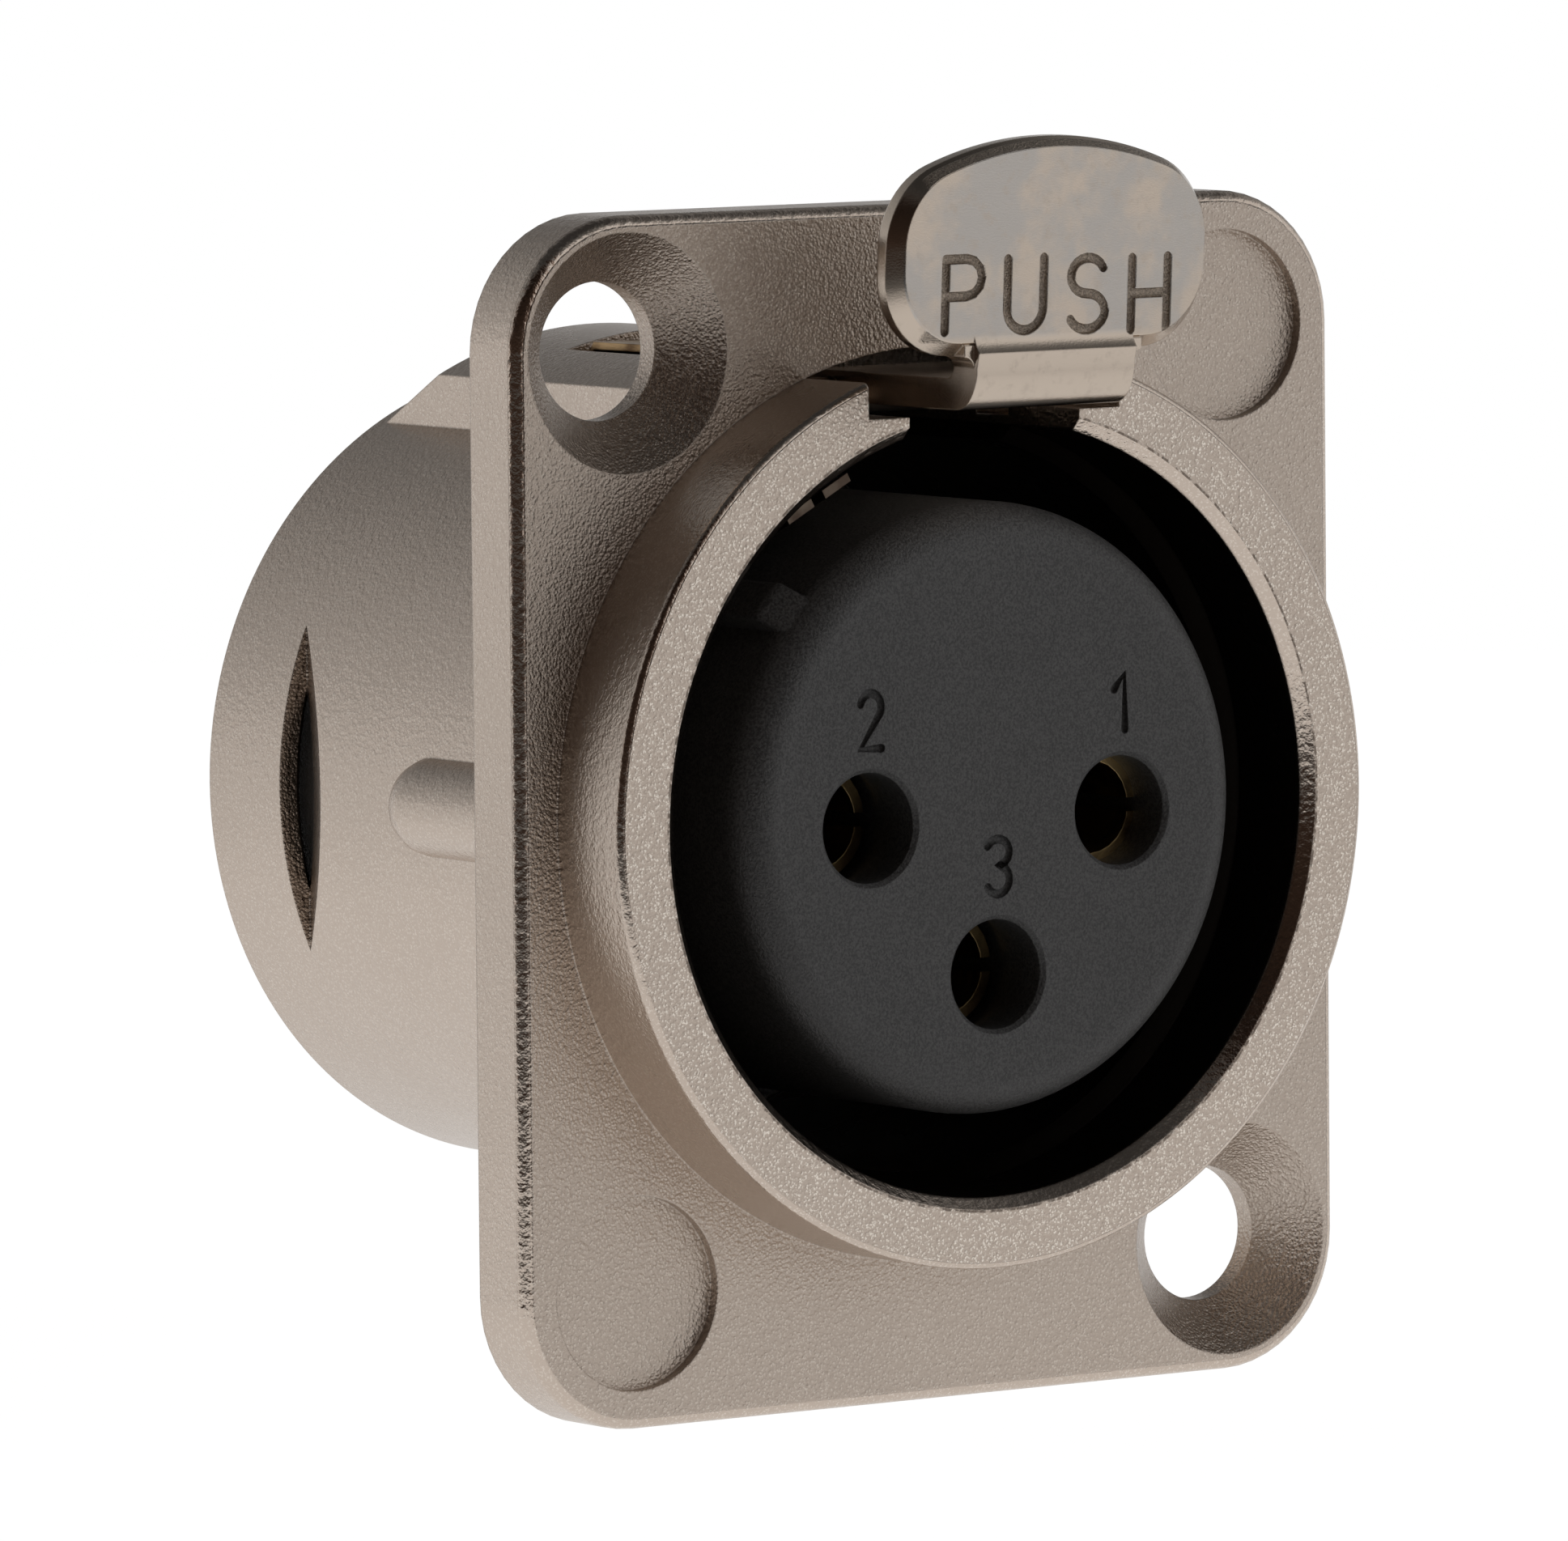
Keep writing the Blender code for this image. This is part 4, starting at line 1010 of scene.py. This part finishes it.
def make_insert():
    """Round-nosed insert with its key rib, pin holes and their numbers."""
    nose = arc(
        (INSERT_FRONT + INSERT_EDGE_RADIUS, INSERT_RADIUS - INSERT_EDGE_RADIUS),
        INSERT_EDGE_RADIUS, 180, 90, TURN_STEPS,
    )
    insert = lathe("insert_body", nose + [
        (BASE_START, INSERT_RADIUS),
        (BASE_START, BASE_RADIUS),
        (BASE_END, BASE_RADIUS),
    ])
    front = INSERT_FRONT + KEY_SETBACK
    outline = [
        (front, INSERT_RADIUS / 2),
        (front, INSERT_RADIUS - KEY_HEIGHT / 2),
        (front + KEY_RAMP, INSERT_RADIUS + KEY_HEIGHT),
        (BASE_START + OVERCUT, INSERT_RADIUS + KEY_HEIGHT),
        (BASE_START + OVERCUT, INSERT_RADIUS / 2),
    ]
    key = slab("key_blank", [(-KEY_WIDTH / 2, y, z) for y, z in outline], (KEY_WIDTH, 0.0, 0.0))
    round_edges(
        key, lambda first, second: max(first.z, second.z) > INSERT_RADIUS,
        KEY_HEIGHT / 3, EDGE_STEPS,
    )
    bpy.ops.object.mode_set(mode="EDIT")
    bpy.ops.mesh.select_all(action="SELECT")
    bpy.ops.transform.rotate(
        value=-math.radians(90 - KEY_ANGLE_DEG), orient_axis="Y", center_override=(0.0, 0.0, 0.0)
    )
    closed()
    combine(insert, "UNION", key)
    for number, centre in contact_places().items():
        chamber = CONTACT_HOLE_RADIUS + CONTACT_PLAY
        combine(insert, "DIFFERENCE", lathe("pin_tool", [
            (INSERT_FRONT - OVERCUT, CONTACT_HOLE_RADIUS + HOLE_CHAMFER + OVERCUT),
            (INSERT_FRONT + HOLE_CHAMFER, CONTACT_HOLE_RADIUS),
            (INSERT_FRONT + CONTACT_DEPTH - FIRST_CONTACT_LEAD, CONTACT_HOLE_RADIUS),
            (INSERT_FRONT + CONTACT_DEPTH, chamber),
            (BASE_END + OVERCUT, chamber),
        ], centre, HOLE_SEGMENTS))
        sign_x, sign_z, width = DIGIT_PLACES[number]
        engrave(insert, str(number), width, sign_x, sign_z, DIGIT_HEIGHT,
                lambda z: INSERT_FRONT + DIGIT_SINK, DIGIT_STROKE / 2)
    smooth(insert)
    return insert


def set_in_place(piece, material, slot, body, *nodes):
    """Give a new piece its finish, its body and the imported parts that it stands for."""
    piece.data.materials.clear()
    piece.data.materials.append(material)
    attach(piece, body)
    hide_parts(*nodes)


class SocketFinishSettings(bpy.types.PropertyGroup):
    """Colours of the metals and mouldings."""

    casting: bpy.props.FloatVectorProperty(
        name="Casting", description="Colour of the plated casting", subtype="COLOR",
        default=(0.66, 0.557, 0.475), min=0.0, max=1.0,
    )
    lever: bpy.props.FloatVectorProperty(
        name="Lever", description="Colour of the smooth plate on the lever", subtype="COLOR",
        default=(0.60, 0.51, 0.425), min=0.0, max=1.0,
    )
    moulding: bpy.props.FloatVectorProperty(
        name="Moulding", description="Colour of the black mouldings", subtype="COLOR",
        default=(0.082, 0.081, 0.081), min=0.0, max=1.0,
    )


class SocketStudioSettings(bpy.types.PropertyGroup):
    """Camera's place, turn and lens."""

    azimuth: bpy.props.FloatProperty(
        name="Azimuth", description="Camera's turn to the left of the front", subtype="ANGLE",
        default=math.radians(-35.563),
    )
    elevation: bpy.props.FloatProperty(
        name="Elevation", description="Camera's height above the horizon", subtype="ANGLE",
        default=math.radians(4.878),
    )
    roll: bpy.props.FloatProperty(
        name="Roll", description="Camera's tilt to one side", subtype="ANGLE",
        default=math.radians(-0.528),
    )
    distance: bpy.props.FloatProperty(
        name="Distance", description="Camera's distance from the bore's mouth", unit="LENGTH",
        default=368.46 * MM,
    )
    aside: bpy.props.FloatProperty(
        name="Aside", description="Sideways move that frames the part", unit="LENGTH",
        default=-2.71 * MM,
    )
    rise: bpy.props.FloatProperty(
        name="Rise", description="Upward move that frames the part", unit="LENGTH",
        default=0.741 * MM,
    )
    lens: bpy.props.FloatProperty(
        name="Lens", description="Focal length on a 36 mm sensor", default=326.39, min=1.0,
    )


class SOCKET_OT_stage(bpy.types.Operator):
    """Set up the floor, the soft light and the camera"""

    bl_idname = "socket.stage"
    bl_label = "Stage"

    def execute(self, context):
        add_floor()
        light_world(context.scene)
        add_camera(context.scene, context.scene.socket_studio)
        context.scene.view_settings.view_transform = "Standard"
        return {"FINISHED"}


class SOCKET_OT_housing(bpy.types.Operator):
    """Model the die-cast housing"""

    bl_idname = "socket.housing"
    bl_label = "Housing"

    def execute(self, context):
        surface = cast_nickel(tuple(context.scene.socket_finish.casting))
        set_in_place(make_housing(), surface, "cast_nickel", "socket", "housing")
        return {"FINISHED"}


class SOCKET_OT_lever(bpy.types.Operator):
    """Model the latch lever with its engraved word"""

    bl_idname = "socket.lever"
    bl_label = "Latch lever"

    def execute(self, context):
        surface = bright_nickel(tuple(context.scene.socket_finish.lever))
        set_in_place(make_lever(), surface, "bright_nickel", "latch", "latch_lever")
        return {"FINISHED"}


class SOCKET_OT_insert(bpy.types.Operator):
    """Model the black insert with its numbered pin holes"""

    bl_idname = "socket.insert"
    bl_label = "Insert"

    def execute(self, context):
        surface = black_plastic(tuple(context.scene.socket_finish.moulding))
        set_in_place(make_insert(), surface, "black_plastic", "socket", "insert")
        return {"FINISHED"}


class SOCKET_OT_packed_parts(bpy.types.Operator):
    """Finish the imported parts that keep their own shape"""

    bl_idname = "socket.packed_parts"
    bl_label = "Packed parts"

    def execute(self, context):
        settings = context.scene.socket_finish
        # Painted shade: the ground strip inside the mouth takes near-black colours in place of the
        # shade there
        strip = drawn_brass("ground_strip", *STRIP_SHADE_COLOURS)
        moulding = black_plastic(tuple(settings.moulding))
        brass = drawn_brass("contact_brass", *BRASS_COLOURS)
        bronze = drawn_brass("spring_bronze", *BRONZE_COLOURS)
        refinish("ground_contact", strip)
        refinish("retainer", moulding)
        refinish("latch_spring", bronze)
        for number in (1, 2, 3):
            refinish(f"contact_{number}", brass)
        return {"FINISHED"}


def add_floor():
    """Pale floor under the flange's lower edge, white to the camera, with a painted pool of light in
    its glow for reflections.
    """
    deselect()
    floor_height = CAD_BOX[0].z
    bpy.ops.mesh.primitive_circle_add(
        vertices=HOLE_SEGMENTS, radius=FLOOR_RADIUS, fill_type="NGON",
        location=(0.0, 0.0, floor_height),
    )
    floor = bpy.context.object
    floor.name = "floor"
    made, graph = new_material("floor")
    path = graph.node("ShaderNodeLightPath", output="Is Camera Ray")
    seen = path.most(graph.out(path, "Is Glossy Ray")).most(graph.out(path, "Is Transmission Ray"))
    paper = graph.node("ShaderNodeBsdfDiffuse", values={"Color": (*PAPER, 1.0)})
    _, x, y, _ = graph.place()
    # Painted pool of light: the glow in reflections is brightest near the part and fades outward,
    # with painted shade on the camera's side
    away = (x * x + y * y).root().fade(*FLOOR_FALL_REACH)
    camera_side = (x * DARK_SIDE[0] + y * DARK_SIDE[1]).fade(*FLOOR_DARK_REACH)
    light = (FLOOR_LIGHT - FLOOR_FALL * away) * (1 - FLOOR_DARK_LOSS * camera_side)
    strength = light * (1 - path) + FLOOR_WHITE * path
    glow = graph.node(
        "ShaderNodeEmission", values={"Color": (*WHITE, 1.0), "Strength": strength}
    )
    mixed = graph.node("ShaderNodeMixShader", values={0: seen * FLOOR_GLOW_SHARE, 1: paper, 2: glow})
    graph.node("ShaderNodeOutputMaterial", values={"Surface": mixed})
    floor.data.materials.append(made)


def light_world(scene):
    """A soft room: white to the camera, bright low down and dark overhead for the metal."""
    world = bpy.data.worlds.new("studio")
    scene.world = world
    graph = Graph(world)
    direction = graph.node("ShaderNodeTexCoord", output="Generated")
    across = graph.node("ShaderNodeSeparateXYZ", values={0: direction})
    along = graph.out(across, "Y")
    up = graph.out(across, "Z")
    camera_side = (across * DARK_SIDE[0] + along * DARK_SIDE[1]).fade(0.44, 0.66)
    behind = (across * BACK_SIDE[0] + along * BACK_SIDE[1]).fade(0.6, 0.95) * up.fade(0.15, 0.4)
    room = ROOM_LIGHT - ROOM_FALL * up.fade(-0.1, 0.3) - OVERHEAD_FALL * up.fade(0.3, 0.95)
    softbox = (across * LIT_SIDE[0] + along * LIT_SIDE[1]).fade(0.35, 0.7)
    softbox = softbox * (1 - up.fade(0.45, 0.7))
    level = room.most(SOFTBOX_LIGHT * softbox)
    level = level * (1 - DARK_SIDE_LOSS * camera_side) * (1 - BACK_SIDE_LOSS * behind)
    path = graph.node("ShaderNodeLightPath", output="Is Camera Ray")
    colour = graph.blend(camera_side * (1 - path), WHITE, DARK_SIDE_TINT)
    sky = graph.node(
        "ShaderNodeBackground", values={"Color": colour, "Strength": level * (1 - path) + path}
    )
    graph.node("ShaderNodeOutputWorld", values={"Surface": sky})


def add_camera(scene, studio):
    """Camera at the photograph's angle."""
    azimuth = studio.azimuth
    elevation = studio.elevation
    back = Vector(
        (
            math.sin(azimuth) * math.cos(elevation),
            -math.cos(azimuth) * math.cos(elevation),
            math.sin(elevation),
        )
    )
    right = Vector((math.cos(azimuth), math.sin(azimuth), 0.0))
    up = back.cross(right)
    across = right * math.cos(studio.roll) + up * math.sin(studio.roll)
    upward = up * math.cos(studio.roll) - right * math.sin(studio.roll)
    camera = bpy.data.objects.new("camera", bpy.data.cameras.new("camera"))
    scene.collection.objects.link(camera)
    camera.data.lens = studio.lens
    camera.data.clip_start = CLIP_NEAR
    camera.data.clip_end = CLIP_FAR
    turn = Matrix((across, upward, back)).transposed().to_4x4()
    place = back * studio.distance + right * studio.aside + up * studio.rise
    camera.matrix_world = Matrix.Translation(place) @ turn
    scene.camera = camera


class SOCKET_PT_panel(bpy.types.Panel):
    """Steps, colours and camera of the socket"""

    bl_idname = "SOCKET_PT_panel"
    bl_label = "Panel socket"
    bl_space_type = "VIEW_3D"
    bl_region_type = "UI"
    bl_category = "Socket"

    def draw(self, context):
        for operator in OPERATORS:
            self.layout.operator(operator.bl_idname)
        for settings in (context.scene.socket_finish, context.scene.socket_studio):
            for name in settings.bl_rna.properties.keys():
                if name not in {"rna_type", "name"}:
                    self.layout.prop(settings, name)


OPERATORS = (
    SOCKET_OT_stage,
    SOCKET_OT_housing,
    SOCKET_OT_lever,
    SOCKET_OT_insert,
    SOCKET_OT_packed_parts,
)
CLASSES = (SocketFinishSettings, SocketStudioSettings) + OPERATORS + (SOCKET_PT_panel,)


def register():
    for item in CLASSES:
        bpy.utils.register_class(item)
    bpy.types.Scene.socket_finish = bpy.props.PointerProperty(type=SocketFinishSettings)
    bpy.types.Scene.socket_studio = bpy.props.PointerProperty(type=SocketStudioSettings)


def unregister():
    del bpy.types.Scene.socket_studio
    del bpy.types.Scene.socket_finish
    for item in reversed(CLASSES):
        bpy.utils.unregister_class(item)


def main():
    register()
    bpy.ops.socket.stage()
    bpy.ops.socket.housing()
    bpy.ops.socket.lever()
    bpy.ops.socket.insert()
    bpy.ops.socket.packed_parts()


if __name__ == "__main__":
    main()
